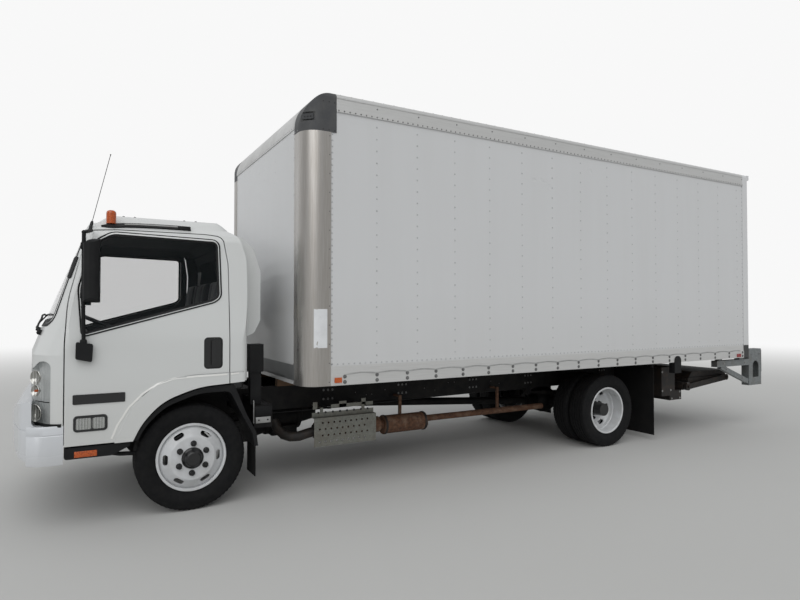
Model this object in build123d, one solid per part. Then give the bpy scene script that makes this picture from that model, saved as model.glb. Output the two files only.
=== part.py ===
# Box truck: low cab over the front axle, ladder chassis, van body with a roll-up door,
# dual rear wheels and a liftgate folded away under the tail. All sizes in millimetres.
# The truck's front looks along -Y, its left side along +X, up is +Z.
# It is drawn with y = 0 at the front axle and z = 0 on the ground, and moved at the end
# so that the origin is on the ground under the middle of its overall box.
import os
from math import sin, tan, radians

from build123d import *

os.makedirs("parts", exist_ok=True)

# Overall places along the truck, from the front axle
WHEELBASE = 4475.0
BUMPER_FRONT = -1209.0
REAR_OVERHANG = 2493.0
TAIL_OUT = 437.0
BOX_REAR = WHEELBASE + REAR_OVERHANG
TAIL_END = BOX_REAR + TAIL_OUT
SHIFT_Y = -(BUMPER_FRONT + TAIL_END) / 2
SOFT_GAP = 0.3

# Tyres and wheels
TYRE_R = 405.5
AXLE_Z = TYRE_R
TYRE_HALF = 113.0
TREAD_HALF = 96.0
BEAD_HALF = 85.4
RIM_R = 248.0
RIM_HALF = 96.0
FLANGE_R = 260.0
FLANGE_WALL = 10.3
BARREL_WALL = 8.0
DISC_FACE = 127.5
DISC_WALL = 10.0
BORE_R = 82.0
NUT_PCD = 222.25
NUT_COUNT = 6
NUT_R = 17.0
NUT_LONG = 22.0
HAND_LONG = 78.0
HAND_WIDE = 34.0
HAND_AT = 193.0
FRONT_WHEEL_X = 832.0
REAR_OUTER_X = 952.0
REAR_INNER_X = REAR_OUTER_X - 2 * DISC_FACE
KINGPIN_X = 740.0
KINGPIN_R = 15.0

# Chassis ladder
RAIL_X = 425.0
RAIL_FLANGE = 70.0
RAIL_WALL = 8.0
RAIL_BOTTOM = 627.0
RAIL_TOP = 840.0
RAIL_FRONT = -930.0
RAIL_REAR = BOX_REAR - 838.0
SPRING_WIDE = 70.0
SPRING_X = 390.0

# Cab
CAB_HALF = 1020.0
CAB_WALL = 45.0
CAB_NOSE = -1095.0
CAB_BACK = 408.0
CAB_FLOOR = 598.0
CAB_SKIRT = 300.0
ROOF_Z = 2231.0
DOOR_WALL = 60.0
DOOR_GAP = 7.5
DOOR_SKIN = 20.0
DOOR_STEP = 10.0
GLASS_WALL = 6.0
GLASS_INSET = 9.0
TUNNEL_HALF = 470.0
TUNNEL_Z = 885.0
SCREEN_LEAN = 0.347
WIDE = CAB_HALF + 280.0

# Van body
BOX_HALF = 1219.0
BOX_FRONT = 793.0
BOX_BOTTOM = 919.0
BOX_TOP = 3338.0
BOX_WALL = 38.0
POST_OUT = 6.0
POST_PITCH = 406.4
CORNER_R = 152.0
FRONT_TOP_R = 282.0
ROOF_EDGE_R = 45.0
POST_SIDE_END = BOX_FRONT + 235.0
POST_FRONT_END = BOX_HALF - 236.0
CAP_BOTTOM = BOX_TOP - 335.0
TOP_RAIL_LOW = BOX_TOP - 159.0
LOW_RAIL_TOP = BOX_BOTTOM + 161.0
LOW_RAIL_STEP = BOX_BOTTOM + 91.0
DECK_TOP = BOX_BOTTOM + 126.0
DECK_WALL = 30.0
REAR_POST_FRONT = BOX_REAR - 108.0
DOORWAY_HALF = BOX_HALF - 88.0
HEADER_LOW = BOX_TOP - 233.0
HEADER_OUT = BOX_REAR + 41.0


def block(x0, x1, y0, y1, z0, z1):
    middle = Pos((x0 + x1) / 2, (y0 + y1) / 2, (z0 + z1) / 2)
    return middle * Box(abs(x1 - x0), abs(y1 - y0), abs(z1 - z0))


def outline(corners):
    # a closed face from (u, v, radius) corners: straight sides with round corners
    marks = []
    count = len(corners)
    for i in range(count):
        here = Vector(corners[i][0], corners[i][1])
        radius = corners[i][2]
        before = (Vector(corners[i - 1][0], corners[i - 1][1]) - here).normalized()
        after_corner = corners[(i + 1) % count]
        after = (Vector(after_corner[0], after_corner[1]) - here).normalized()
        if radius == 0:
            marks.append((here, None, here))
            continue
        half = radians(before.get_angle(after)) / 2
        inward = (before + after).normalized()
        cut = radius / tan(half)
        crown = here + inward * (radius / sin(half) - radius)
        marks.append((here + before * cut, crown, here + after * cut))
    edges = []
    for i in range(count):
        start, crown, end = marks[i]
        if crown is not None:
            edges.append(ThreePointArc(start, crown, end))
        following = marks[(i + 1) % count][0]
        if (following - end).length > 0.01:
            edges.append(Line(end, following))
    return make_face(edges)


def moved_in(corners, amount):
    # the corners of the same outline with every side moved in by the amount, which
    # tightens the round corners that point out and widens those that point in
    count = len(corners)
    pairs = [(corners[i - 1], corners[i]) for i in range(count)]
    area = sum(a[0] * b[1] - b[0] * a[1] for a, b in pairs)
    inward = 1 if area > 0 else -1
    moved = []
    for i in range(count):
        before, here, after = (Vector(*corners[k % count][:2]) for k in (i - 1, i, i + 1))
        arriving = (here - before).normalized()
        leaving = (after - here).normalized()
        normals = Vector(-arriving.Y, arriving.X) * inward, Vector(-leaving.Y, leaving.X) * inward
        shifted = here + (normals[0] + normals[1]) * (amount / (1 + normals[0].dot(normals[1])))
        points_out = arriving.cross(leaving).Z * inward > 0
        radius = corners[i][2]
        if radius > 0:
            radius = max(radius - amount if points_out else radius + amount, 0)
        moved.append((shifted.X, shifted.Y, radius))
    return moved


def inset(corners, amount):
    # the outline's face, moved in by the amount
    return outline(moved_in(corners, amount))


def flat(points):
    # the same outline with every corner sharp
    return outline([(u, v, 0) for u, v in points])


def along_x(face, x0, x1):
    # the face's u is y and its v is z
    body = extrude(face, amount=x1 - x0, dir=(0, 0, 1))
    return Pos(x0, 0, 0) * (Plane.YZ * body)


def along_y(face, y0, y1):
    # the face's u is x and its v is z
    body = extrude(face, amount=y1 - y0, dir=(0, 0, 1))
    return Pos(0, y1, 0) * (Plane.XZ * body)


def along_z(face, z0, z1):
    return Pos(0, 0, z0) * extrude(face, amount=z1 - z0, dir=(0, 0, 1))


def rod_x(x0, x1, y, z, radius):
    turned = Rot(0, 90, 0) * Cylinder(radius, abs(x1 - x0))
    return Pos((x0 + x1) / 2, y, z) * turned


def rod_y(y0, y1, x, z, radius):
    turned = Rot(90, 0, 0) * Cylinder(radius, abs(y1 - y0))
    return Pos(x, (y0 + y1) / 2, z) * turned


def rod_z(z0, z1, x, y, radius):
    return Pos(x, y, (z0 + z1) / 2) * Cylinder(radius, abs(z1 - z0))


def rod(start, end, radius):
    path = Line(start, end)
    return Plane(origin=(path @ 0.5), z_dir=(path % 0)) * Cylinder(radius, path.length)


def bar(y0, z0, y1, z1, deep, x0, x1):
    # a straight bar seen from the side, between two places, with the given depth
    run = Vector(y1 - y0, z1 - z0)
    across = Vector(-run.Y, run.X).normalized() * (deep / 2)
    low = Vector(y0, z0)
    high = Vector(y1, z1)
    corners = [low + across, low - across, high - across, high + across]
    return along_x(flat([(c.X, c.Y) for c in corners]), x0, x1)


def both(shape):
    # the shape and its twin on the truck's other side
    return [shape, mirror(shape, about=Plane.YZ)]


def other(shape):
    return mirror(shape, about=Plane.YZ)


def spun(corners, centre_x, centre_y, facing):
    # an outline of (outward, radius) turned round a wheel's axle
    face = outline([(facing * u, v, r) for u, v, r in corners])
    ring = revolve(Plane.XZ * face, axis=Axis.X, revolution_arc=360)
    return Pos(centre_x, centre_y, AXLE_Z) * ring


NODES = {}


def node(name, shapes):
    if not isinstance(shapes, list):
        shapes = [shapes]
    solids = []
    for shape in shapes:
        solids.extend(shape.solids())
    NODES[name] = Pos(0, SHIFT_Y, 0) * Compound(children=solids)


# Tyres and wheels: one outline each, turned round the axle
TYRE_OUTLINE = [
    (-BEAD_HALF, RIM_R + SOFT_GAP, 0),
    (BEAD_HALF, RIM_R + SOFT_GAP, 0),
    (BEAD_HALF, FLANGE_R + 3, 0),
    (TYRE_HALF, 318, 40),
    (TYRE_HALF, 352, 30),
    (TREAD_HALF + 5, 398, 14),
    (TREAD_HALF - 25, TYRE_R, 60),
    (-TREAD_HALF + 25, TYRE_R, 60),
    (-TREAD_HALF - 5, 398, 14),
    (-TYRE_HALF, 352, 30),
    (-TYRE_HALF, 318, 40),
    (-BEAD_HALF, FLANGE_R + 3, 0),
]
RIM_OUTLINE = [
    (-RIM_HALF, FLANGE_R, 4),
    (-RIM_HALF, RIM_R - BARREL_WALL, 6),
    (RIM_HALF, RIM_R - BARREL_WALL, 6),
    (RIM_HALF, FLANGE_R, 4),
    (RIM_HALF - FLANGE_WALL, FLANGE_R, 4),
    (RIM_HALF - FLANGE_WALL, RIM_R, 0),
    (-RIM_HALF + FLANGE_WALL, RIM_R, 0),
    (-RIM_HALF + FLANGE_WALL, FLANGE_R, 4),
]
DISC_OUTLINE = [
    (30, RIM_R - BARREL_WALL + 2, 0),
    (30, RIM_R - BARREL_WALL - 9, 12),
    (64, 222, 20),
    (DISC_FACE - DISC_WALL, 160, 20),
    (DISC_FACE - DISC_WALL, BORE_R, 0),
    (DISC_FACE, BORE_R, 0),
    (DISC_FACE, 164, 24),
    (72, 232, 20),
    (60, RIM_R - BARREL_WALL + 2, 0),
]


def tyre(centre_x, centre_y):
    return spun(TYRE_OUTLINE, centre_x, centre_y, 1)


def wheel(centre_x, centre_y, facing):
    body = spun(RIM_OUTLINE, centre_x, centre_y, facing)
    body += spun(DISC_OUTLINE, centre_x, centre_y, facing)
    slot = SlotOverall(HAND_LONG, HAND_WIDE)
    hole = Rot(0, 90, 0) * (Rot(0, 0, 90) * extrude(slot, amount=45, both=True))
    for k in range(NUT_COUNT):
        turn = Pos(centre_x + facing * 95, centre_y, AXLE_Z) * Rot(360 / NUT_COUNT * (k + 0.5), 0, 0)
        body -= turn * Pos(0, 0, HAND_AT) * hole
    return body


def nuts(face_x, centre_y, facing):
    # six wheel nuts, standing on the disc's face
    made = []
    for k in range(NUT_COUNT):
        turn = Pos(face_x, centre_y, AXLE_Z) * Rot(360 / NUT_COUNT * k, 0, 0)
        place = turn * Pos(facing * NUT_LONG / 2, 0, NUT_PCD / 2)
        nut = extrude(RegularPolygon(NUT_R, 6), amount=NUT_LONG / 2, both=True)
        made.append(place * Rot(0, 90, 0) * nut)
    return made


STUB_R = 30.0
REAR_STUB_R = 52.0

# Front wheels, drawn on the left and mirrored: hub, drum and wheel turn together
FRONT_HUB = [
    (-17, STUB_R + SOFT_GAP, 0),
    (176, STUB_R + SOFT_GAP, 0),
    (176, 46, 8),
    (166, 56, 6),
    (136, 66, 6),
    (128, 78, 0),
    (DISC_FACE - DISC_WALL, 78, 0),
    (DISC_FACE - DISC_WALL, 140, 0),
    (60, 140, 0),
    (60, 190, 6),
    (-62, 190, 6),
    (-62, 176, 0),
    (40, 176, 0),
    (40, 80, 0),
    (-17, 70, 0),
]
front_wheel = wheel(FRONT_WHEEL_X, 0, 1)
front_hub = spun(FRONT_HUB, FRONT_WHEEL_X, 0, 1)
front_hub += rod_x(FRONT_WHEEL_X + 150, FRONT_WHEEL_X + 176, 0, AXLE_Z, 46)
front_nuts = nuts(FRONT_WHEEL_X + DISC_FACE, 0, 1)
front_set = [front_wheel + front_hub + front_nuts]
front_tyre = tyre(FRONT_WHEEL_X, 0)
node("left_front_tyre", front_tyre)
node("left_front_wheel", front_set)
node("right_front_tyre", other(front_tyre))
node("right_front_wheel", [other(piece) for piece in front_set])

# Rear twin wheels: the inner one faces out, the outer one is dished in
REAR_HUB = [
    (-150, REAR_STUB_R + SOFT_GAP, 0),
    (176, REAR_STUB_R + SOFT_GAP, 0),
    (176, 70, 8),
    (30, 76, 6),
    (30, 79, 0),
    (-DISC_WALL, 79, 0),
    (-DISC_WALL, 140, 0),
    (-60, 140, 0),
    (-60, 190, 6),
    (-210, 190, 6),
    (-210, 176, 0),
    (-80, 176, 0),
    (-80, 90, 0),
    (-150, 80, 0),
]
rear_face = REAR_OUTER_X - DISC_FACE
rear_wheels = [
    wheel(REAR_OUTER_X, WHEELBASE, -1),
    wheel(REAR_INNER_X, WHEELBASE, 1),
]
rear_hub = spun(REAR_HUB, rear_face, WHEELBASE, 1)
rear_hub += rod_x(rear_face + 155, rear_face + 176, WHEELBASE, AXLE_Z, 70)
rear_nuts = nuts(rear_face + DISC_WALL, WHEELBASE, 1)
rear_set = [rear_wheels[0] + rear_wheels[1] + rear_hub + rear_nuts]
rear_tyres = [tyre(REAR_OUTER_X, WHEELBASE), tyre(REAR_INNER_X, WHEELBASE)]
node("left_rear_tyres", rear_tyres)
node("left_rear_wheels", rear_set)
node("right_rear_tyres", [other(piece) for piece in rear_tyres])
node("right_rear_wheels", [other(piece) for piece in rear_set])

# Steering knuckle: ears above and below the axle's end, kingpin, stub axle and arm
EAR_R = 46.0
BOSS_R = 42.0
BOSS_HALF = 60.0
EAR_WALL = 34.0
PIN_HALF = BOSS_HALF + 1 + EAR_WALL
knuckle = rod_z(AXLE_Z - PIN_HALF, AXLE_Z + PIN_HALF, KINGPIN_X, 0, KINGPIN_R)
for side in (-1, 1):
    low = AXLE_Z + side * (BOSS_HALF + 1)
    knuckle += rod_z(low, low + side * EAR_WALL, KINGPIN_X, 0, EAR_R)
    knuckle += block(KINGPIN_X, KINGPIN_X + 66, -34, 34, low, low + side * EAR_WALL)
knuckle += block(KINGPIN_X + 48, KINGPIN_X + 66, -40, 40, AXLE_Z - 95, AXLE_Z + 95)
knuckle += rod_x(KINGPIN_X + 60, FRONT_WHEEL_X + 140, 0, AXLE_Z, STUB_R)
knuckle += rod_x(KINGPIN_X + 60, KINGPIN_X + 68, 0, AXLE_Z, 60)
node("left_knuckle", knuckle)
node("right_knuckle", other(knuckle))

# Front axle: dropped beam with a kingpin boss at each end and two spring seats
BEAM_OUTLINE = [
    (-KINGPIN_X, AXLE_Z - 40, 0),
    (-600, AXLE_Z - 40, 60),
    (-520, AXLE_Z - 105, 60),
    (520, AXLE_Z - 105, 60),
    (600, AXLE_Z - 40, 60),
    (KINGPIN_X, AXLE_Z - 40, 0),
    (KINGPIN_X, AXLE_Z + 40, 0),
    (600, AXLE_Z + 40, 60),
    (500, AXLE_Z - 15, 60),
    (-500, AXLE_Z - 15, 60),
    (-600, AXLE_Z + 40, 60),
    (-KINGPIN_X, AXLE_Z + 40, 0),
]
beam = along_y(outline(BEAM_OUTLINE), -28, 28)
for side in (-1, 1):
    beam += rod_z(AXLE_Z - BOSS_HALF, AXLE_Z + BOSS_HALF, side * KINGPIN_X, 0, BOSS_R)
    beam -= rod_z(AXLE_Z - 90, AXLE_Z + 90, side * KINGPIN_X, 0, KINGPIN_R + SOFT_GAP)
    seat_x = side * SPRING_X
    beam += block(seat_x - 40, seat_x + 40, -70, 70, AXLE_Z - 30, AXLE_Z + 25)
node("front_axle", beam)

NOSE_Y = WHEELBASE - 290.0

# Rear axle: tube, differential case and brake flanges
tube = rod_x(-660, 660, WHEELBASE, AXLE_Z, 62)
tube += rod_x(-960, 960, WHEELBASE, AXLE_Z, REAR_STUB_R)
case = Pos(0, WHEELBASE, AXLE_Z) * Sphere(168)
tube += case
tube += rod_y(NOSE_Y, WHEELBASE, 0, AXLE_Z, 85)
for side in (-1, 1):
    tube += rod_x(side * 596, side * 604, WHEELBASE, AXLE_Z, 160)
    seat_x = side * SPRING_X
    tube += block(seat_x - 45, seat_x + 45, WHEELBASE - 80, WHEELBASE + 80, AXLE_Z, AXLE_Z + 75)
node("rear_axle", tube)

# Leaf springs, drawn from the side: (place along y from the axle, height above its seat)
SPRING_HALF = 610.0
SPRING_EYE_R = 28.0


def spring(seat_y, seat_z, eye_z):
    leaves = [
        (-SPRING_HALF, eye_z - 9, 0),
        (0, seat_z + 10, 2200),
        (SPRING_HALF, eye_z - 9, 0),
        (SPRING_HALF, eye_z + 9, 0),
        (0, seat_z + 80, 2200),
        (-SPRING_HALF, eye_z + 9, 0),
    ]
    body = along_x(outline(leaves), -SPRING_WIDE / 2, SPRING_WIDE / 2)
    body += block(-SPRING_WIDE / 2, SPRING_WIDE / 2, -55, 55, seat_z, seat_z + 95)
    for side in (-1, 1):
        body += rod_x(-SPRING_WIDE / 2, SPRING_WIDE / 2, side * SPRING_HALF, eye_z, SPRING_EYE_R)
        body += block(-30, 30, side * SPRING_HALF - 40, side * SPRING_HALF + 40, eye_z + 10, RAIL_BOTTOM)
    return Pos(SPRING_X, seat_y, 0) * body


front_spring = spring(0, AXLE_Z + 25, 560)
rear_spring = spring(WHEELBASE, AXLE_Z + 75, 575)
node("leaf_springs", both(front_spring) + both(rear_spring))

MEMBER_LIFT = 34.0
MEMBER_WALL = 8.0

# Cross-members between the rails: (y, depth along y, height)
CROSS_MEMBERS = [
    (-880, 90, 150),
    (1330, 90, 150),
    (2150, 90, 150),
    (3050, 90, 150),
    (WHEELBASE - 625, 90, 150),
    (WHEELBASE + 615, 90, 150),
    (WHEELBASE + 1225, 90, 150),
]
members = []
for member_y, member_deep, member_high in CROSS_MEMBERS:
    half = RAIL_X - RAIL_WALL
    low = RAIL_BOTTOM + MEMBER_LIFT
    front = member_y - member_deep / 2
    rear = member_y + member_deep / 2
    made = block(-half, half, front, rear, low, low + member_high)
    made -= block(-half - 1, half + 1, front - 1, rear - MEMBER_WALL,
                  low + MEMBER_WALL, low + member_high - MEMBER_WALL)
    members.append(made)
node("cross_members", members)

# Engine and gearbox as one plain block, with the drive shaft behind it
engine = block(-270, 270, -150, 620, 500, 830)
engine += block(-130, 130, 620, 1250, 500, 760)
engine += rod((0, 1240, 600), (0, NOSE_Y - 12, AXLE_Z), 42)
engine += rod_y(NOSE_Y - 20, NOSE_Y, 0, AXLE_Z, 62)
for side in (-1, 1):
    engine += block(side * 270, side * (RAIL_X - RAIL_WALL), 160, 240, 650, 720)
node("engine_block", engine)


# Cab: one outside form, made again with an inset for the inside. It is what is common to
# the side outline, the front outline and two plan outlines, one upright and one that
# leans back with the windscreen.
CAB_SIDE = [
    (CAB_NOSE, CAB_FLOOR, 20),
    (CAB_NOSE, 1215, 350),
    (-1072, 1385, 60),
    (-1004, 1470, 110),
    (-714, 2172, 75),
    (-540, 2218, 160),
    (20, ROOF_Z, 900),
    (230, 2222, 160),
    (352, 2140, 130),
    (CAB_BACK, 1960, 260),
    (CAB_BACK, 983, 4),
    (30, 960, 700),
    (-232, 868, 420),
    (-372, 715, 500),
    (-428, CAB_FLOOR, 0),
]
CAB_FRONT = [
    (-CAB_HALF, CAB_SKIRT, 0),
    (-CAB_HALF, 1330, 900),
    (-CAB_HALF + 102, 2120, 90),
    (-CAB_HALF + 300, 2215, 300),
    (0, ROOF_Z + 6, 1800),
    (CAB_HALF - 300, 2215, 300),
    (CAB_HALF - 102, 2120, 90),
    (CAB_HALF, 1330, 900),
    (CAB_HALF, CAB_SKIRT, 0),
]
NOSE_PLAN = [
    (-CAB_HALF, -930, 150),
    (-CAB_HALF + 220, -1052, 400),
    (0, CAB_NOSE - 4, 4000),
    (CAB_HALF - 220, -1052, 400),
    (CAB_HALF, -930, 150),
]
CAB_PLAN = NOSE_PLAN + [(CAB_HALF, CAB_BACK, 55), (-CAB_HALF, CAB_BACK, 55)]
LEAN_PLAN = NOSE_PLAN + [(CAB_HALF, 1900, 0), (-CAB_HALF, 1900, 0)]
REAR_BULGE = [
    (300, 1300, 0),
    (CAB_BACK, 1300, 60),
    (520, 1345, 60),
    (574, 1450, 80),
    (574, 1870, 120),
    (508, 2060, 90),
    (CAB_BACK, 2150, 60),
    (300, 2150, 0),
]
BULGE_HALF = CAB_HALF - 260.0
SCREEN_BASE_Z = 1470.0
SCREEN_BASE_Y = -1004.0


def cab_form(amount):
    shift = SCREEN_BASE_Y - CAB_NOSE
    start = Pos(0, shift - SCREEN_LEAN * (SCREEN_BASE_Z - 500) - 6, 500)
    leaned = start * extrude(inset(LEAN_PLAN, amount), amount=1950, dir=Vector(0, SCREEN_LEAN, 1))
    form = along_x(inset(CAB_SIDE, amount), -WIDE, WIDE) & leaned
    form &= along_z(inset(CAB_PLAN, amount), 500, 2400)
    form &= along_y(inset(CAB_FRONT, amount), -1400, 700)
    form += along_x(inset(REAR_BULGE, amount), -BULGE_HALF + amount, BULGE_HALF - amount)
    form -= block(-TUNNEL_HALF - amount, TUNNEL_HALF + amount, -1300, 700, 400, TUNNEL_Z + amount)
    return form


outer = cab_form(0)
inner = cab_form(CAB_WALL)

# Doors: the outline on the cab's side, from the front edge round to the wheel arch
DOOR_OUTLINE = [
    (-855, 590, 0),
    (-855, 1300, 500),
    (-838, 1600, 900),
    (-716, 2108, 60),
    (-520, 2126, 300),
    (100, 2132, 300),
    (222, 2118, 60),
    (258, 1900, 300),
    (258, 960, 0),
    (258, 590, 0),
]
DOOR_IN_X = CAB_HALF - 160.0
door_zone = along_x(outline(DOOR_OUTLINE), DOOR_IN_X, WIDE)
door_hole = along_x(inset(DOOR_OUTLINE, -DOOR_GAP), DOOR_IN_X, WIDE)
side_core = along_y(inset(CAB_FRONT, DOOR_WALL), -1400, 700)
hole_core = along_y(inset(CAB_FRONT, DOOR_WALL + DOOR_GAP), -1400, 700)
skin_core = along_y(inset(CAB_FRONT, DOOR_SKIN), -1400, 700)
FRAME_OUTLINE = [(u - DOOR_STEP if u > 0 else u, v, r) for u, v, r in DOOR_OUTLINE]
frame_zone = along_x(outline(FRAME_OUTLINE), DOOR_IN_X, WIDE)
left_door = (outer & door_zone) - side_core
left_door -= (door_zone - frame_zone) & skin_core
door_cut = door_hole - hole_core

# Side window, in the door: slanted lower edge, rounded rear corners
WINDOW_OUTLINE = [
    (-745, 1364, 20),
    (140, 1606, 90),
    (192, 1640, 60),
    (186, 2078, 45),
    (-560, 2096, 120),
    (-672, 2030, 120),
    (-768, 1690, 200),
]
window_hole = along_x(outline(WINDOW_OUTLINE), DOOR_IN_X, WIDE)
glass_skin = cab_form(GLASS_INSET) - cab_form(GLASS_INSET + GLASS_WALL)
left_glass = glass_skin & along_x(inset(WINDOW_OUTLINE, SOFT_GAP), DOOR_IN_X, WIDE)
left_door -= window_hole

# Raised shapes on the side skin: wheel arch flare, turn lamp frame and a plain strip
PROUD = 6.0
FLARE = [
    (-545, 590, 0),
    (-432, 850, 500),
    (-232, 1022, 350),
    (20, 1046, 400),
    (420, 1052, 0),
    (420, 900, 0),
    (0, 800, 0),
    (-300, 590, 0),
]
TURN_LAMP = [(-799, 693, 24), (-590, 693, 24), (-590, 802, 24), (-799, 802, 24)]
STRIP = [(-804, 884, 6), (-478, 884, 6), (-478, 948, 6), (-804, 948, 6)]
proud = cab_form(-PROUD) - along_y(outline(CAB_FRONT), -1400, 700)
flare = proud & along_x(outline(FLARE), DOOR_IN_X, WIDE)
lamp_frame = proud & along_x(outline(TURN_LAMP), DOOR_IN_X, WIDE)
strip = proud & along_x(outline(STRIP), DOOR_IN_X, WIDE)
left_door += flare & door_zone
left_door += lamp_frame
left_door += strip
shell_flare = flare - door_hole
HANDLE = [(69, 1089, 30), (206, 1089, 30), (206, 1327, 30), (69, 1327, 30)]
handle_cup = along_x(outline(HANDLE), CAB_HALF - 22, CAB_HALF + 20)
left_door -= handle_cup
cup_skin = along_x(outline(HANDLE), CAB_HALF - 22, CAB_HALF - 16)
grip = block(CAB_HALF - 16, CAB_HALF + 6, 124, 152, 1115, 1302)

# Windscreen and rear window
SCREEN_LOW_HALF = CAB_HALF - 158.0
SCREEN_TOP_HALF = CAB_HALF - 228.0
SCREEN_OUTLINE = [
    (-SCREEN_LOW_HALF, 1448, 60),
    (0, 1432, 2500),
    (SCREEN_LOW_HALF, 1448, 60),
    (SCREEN_TOP_HALF, 2112, 80),
    (0, 2128, 2500),
    (-SCREEN_TOP_HALF, 2112, 80),
]
REAR_WINDOW = [(-420, 1500, 60), (420, 1500, 60), (420, 1900, 60), (-420, 1900, 60)]
screen_zone = along_y(outline(SCREEN_OUTLINE), -1200, -560)
back_zone = along_y(outline(REAR_WINDOW), 450, 650)
screen_fit = along_y(inset(SCREEN_OUTLINE, SOFT_GAP), -1200, -560)
back_fit = along_y(inset(REAR_WINDOW, SOFT_GAP), 450, 650)
node("cab_glass", [glass_skin & screen_fit, glass_skin & back_fit])

shell = outer - inner
shell -= door_cut
shell -= other(door_cut)
shell -= screen_zone
shell -= back_zone
shell += shell_flare
shell += other(shell_flare)

# Headlamps: tall corner lamps let into the front corners, in two parts
LAMP_TOP = 1202.0
LAMP_LOW = 744.0
LAMP_SPLIT = 905.0
LAMP_REAR = -938.0
LAMP_IN_X = CAB_HALF - 330.0
LAMP_DEEP = 40.0
LAMP_SIDE = [
    (-1300, LAMP_LOW, 0),
    (LAMP_REAR, LAMP_LOW, 0),
    (LAMP_REAR, LAMP_TOP, 45),
    (-1010, LAMP_TOP - 25, 0),
    (-1080, LAMP_TOP - 110, 0),
    (-1300, LAMP_TOP - 150, 0),
]
lamp_zone = along_x(outline(LAMP_SIDE), LAMP_IN_X, WIDE)
lamp_core = cab_form(LAMP_DEEP)
left_lamp = (outer & lamp_zone) - lamp_core
lamp_fit = along_x(inset(LAMP_SIDE, 1.5), LAMP_IN_X + 1.5, WIDE)
left_lamp = left_lamp & lamp_fit
lamp_skin = outer - cab_form(3)
left_lamp -= lamp_skin & block(LAMP_IN_X, WIDE, -1300, LAMP_REAR, LAMP_SPLIT - 3, LAMP_SPLIT + 3)
shell -= lamp_zone - lamp_core
shell -= other(lamp_zone - lamp_core)
node("headlamps", both(left_lamp))

# Grille: a dark slatted panel let into the nose
GRILLE = [
    (-560, 930, 40),
    (560, 930, 40),
    (610, 1130, 50),
    (-610, 1130, 50),
]
GRILLE_DEEP = 25.0
GRILLE_SLATS = 4
SLAT_HALF = 530.0
grille_zone = along_y(outline(GRILLE), -1300, -900)
grille_core = cab_form(GRILLE_DEEP)
grille = (outer & grille_zone) - grille_core
grille = grille & along_y(inset(GRILLE, SOFT_GAP), -1300, -900)
for k in range(GRILLE_SLATS):
    low = 948 + k * 44
    slot = flat([(-SLAT_HALF, low), (SLAT_HALF, low), (SLAT_HALF, low + 28), (-SLAT_HALF, low + 28)])
    grille -= along_y(slot, -1300, CAB_NOSE + 16)
shell -= grille_zone - grille_core
node("front_grille", grille)
node("cab_shell", shell)

node("left_door", [left_door, cup_skin, grip])
node("left_door_glass", left_glass)
node("right_door", [other(left_door), other(cup_skin), other(grip)])
node("right_door_glass", other(left_glass))

# Mirror: foot on the door, long arm and a tall head
MIRROR_X = CAB_HALF + 90.0
foot = along_x(outline([(-792, 1200, 12), (-690, 1175, 12), (-684, 1300, 12), (-790, 1318, 12)]),
               CAB_HALF - 1, CAB_HALF + 46)
stem_path = Line((CAB_HALF + 24, -742, 1305), (CAB_HALF + 60, -748, 1560))
stem_top = Line((CAB_HALF + 60, -748, 1560), (CAB_HALF + 60, -748, 2075))
stem_end = Line((CAB_HALF + 60, -748, 2075), (CAB_HALF - 90, -700, 2108))
mirror_parts = [foot]
for piece in (stem_path, stem_top, stem_end):
    ring = Plane(origin=piece @ 0, z_dir=piece % 0) * Circle(13)
    mirror_parts.append(sweep(ring, path=piece))
mirror_parts.append(Pos(CAB_HALF + 60, -748, 1560) * Sphere(15))
mirror_parts.append(Pos(CAB_HALF + 60, -748, 2075) * Sphere(15))
head = along_z(outline([
    (MIRROR_X - 110, -744, 30),
    (MIRROR_X + 90, -756, 40),
    (MIRROR_X + 80, -640, 50),
    (MIRROR_X - 95, -662, 30),
]), 1500, 2100)
head &= along_x(outline([
    (-780, 1590, 60),
    (-600, 1590, 45),
    (-600, 2026, 50),
    (-780, 2026, 110),
]), MIRROR_X - 200, MIRROR_X + 200)
head &= along_y(outline([
    (MIRROR_X - 115, 1590, 40),
    (MIRROR_X + 95, 1590, 60),
    (MIRROR_X + 95, 2026, 60),
    (MIRROR_X - 115, 2026, 40),
]), -800, -500)
mirror_arm = mirror_parts[0]
for piece in mirror_parts[1:]:
    mirror_arm += piece
mirror_arm += head
mirror_arm -= outer
node("left_mirror", mirror_arm)
node("right_mirror", other(mirror_arm))

# Bumper: wraps round the nose below the cab, thick shell open behind
BUMPER_SIDE = [
    (-1085, 905, 20),
    (-1165, 862, 120),
    (BUMPER_FRONT, 722, 30),
    (BUMPER_FRONT, 600, 60),
    (-1168, 520, 60),
    (-1050, 478, 60),
    (-860, 478, 8),
    (-860, 738, 8),
    (-1050, 742, 30),
    (-1050, 905, 0),
]
BUMPER_HALF = CAB_HALF - 20.0
BUMPER_PLAN = [
    (-BUMPER_HALF, -860, 0),
    (-BUMPER_HALF, -1010, 130),
    (-BUMPER_HALF + 220, -1130, 300),
    (0, BUMPER_FRONT - 45, 3500),
    (BUMPER_HALF - 220, -1130, 300),
    (BUMPER_HALF, -1010, 130),
    (BUMPER_HALF, -860, 0),
]
BUMPER_WALL = 30.0
bumper = along_x(outline(BUMPER_SIDE), -WIDE, WIDE)
bumper &= along_z(outline(BUMPER_PLAN), 400, 1000)
bumper_core = along_z(inset(BUMPER_PLAN, BUMPER_WALL), 400, 738)
bumper -= Pos(0, 60, 0) * bumper_core
bumper -= bumper_core
bumper -= block(-700, 700, -1045, -850, 470, 1000)
bumper -= cab_form(-1)
GROOVE_LOW = 702.0
GROOVE_HIGH = 709.0
GROOVE_DEEP = 4.0
groove = along_z(outline(BUMPER_PLAN), GROOVE_LOW, GROOVE_HIGH)
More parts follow.
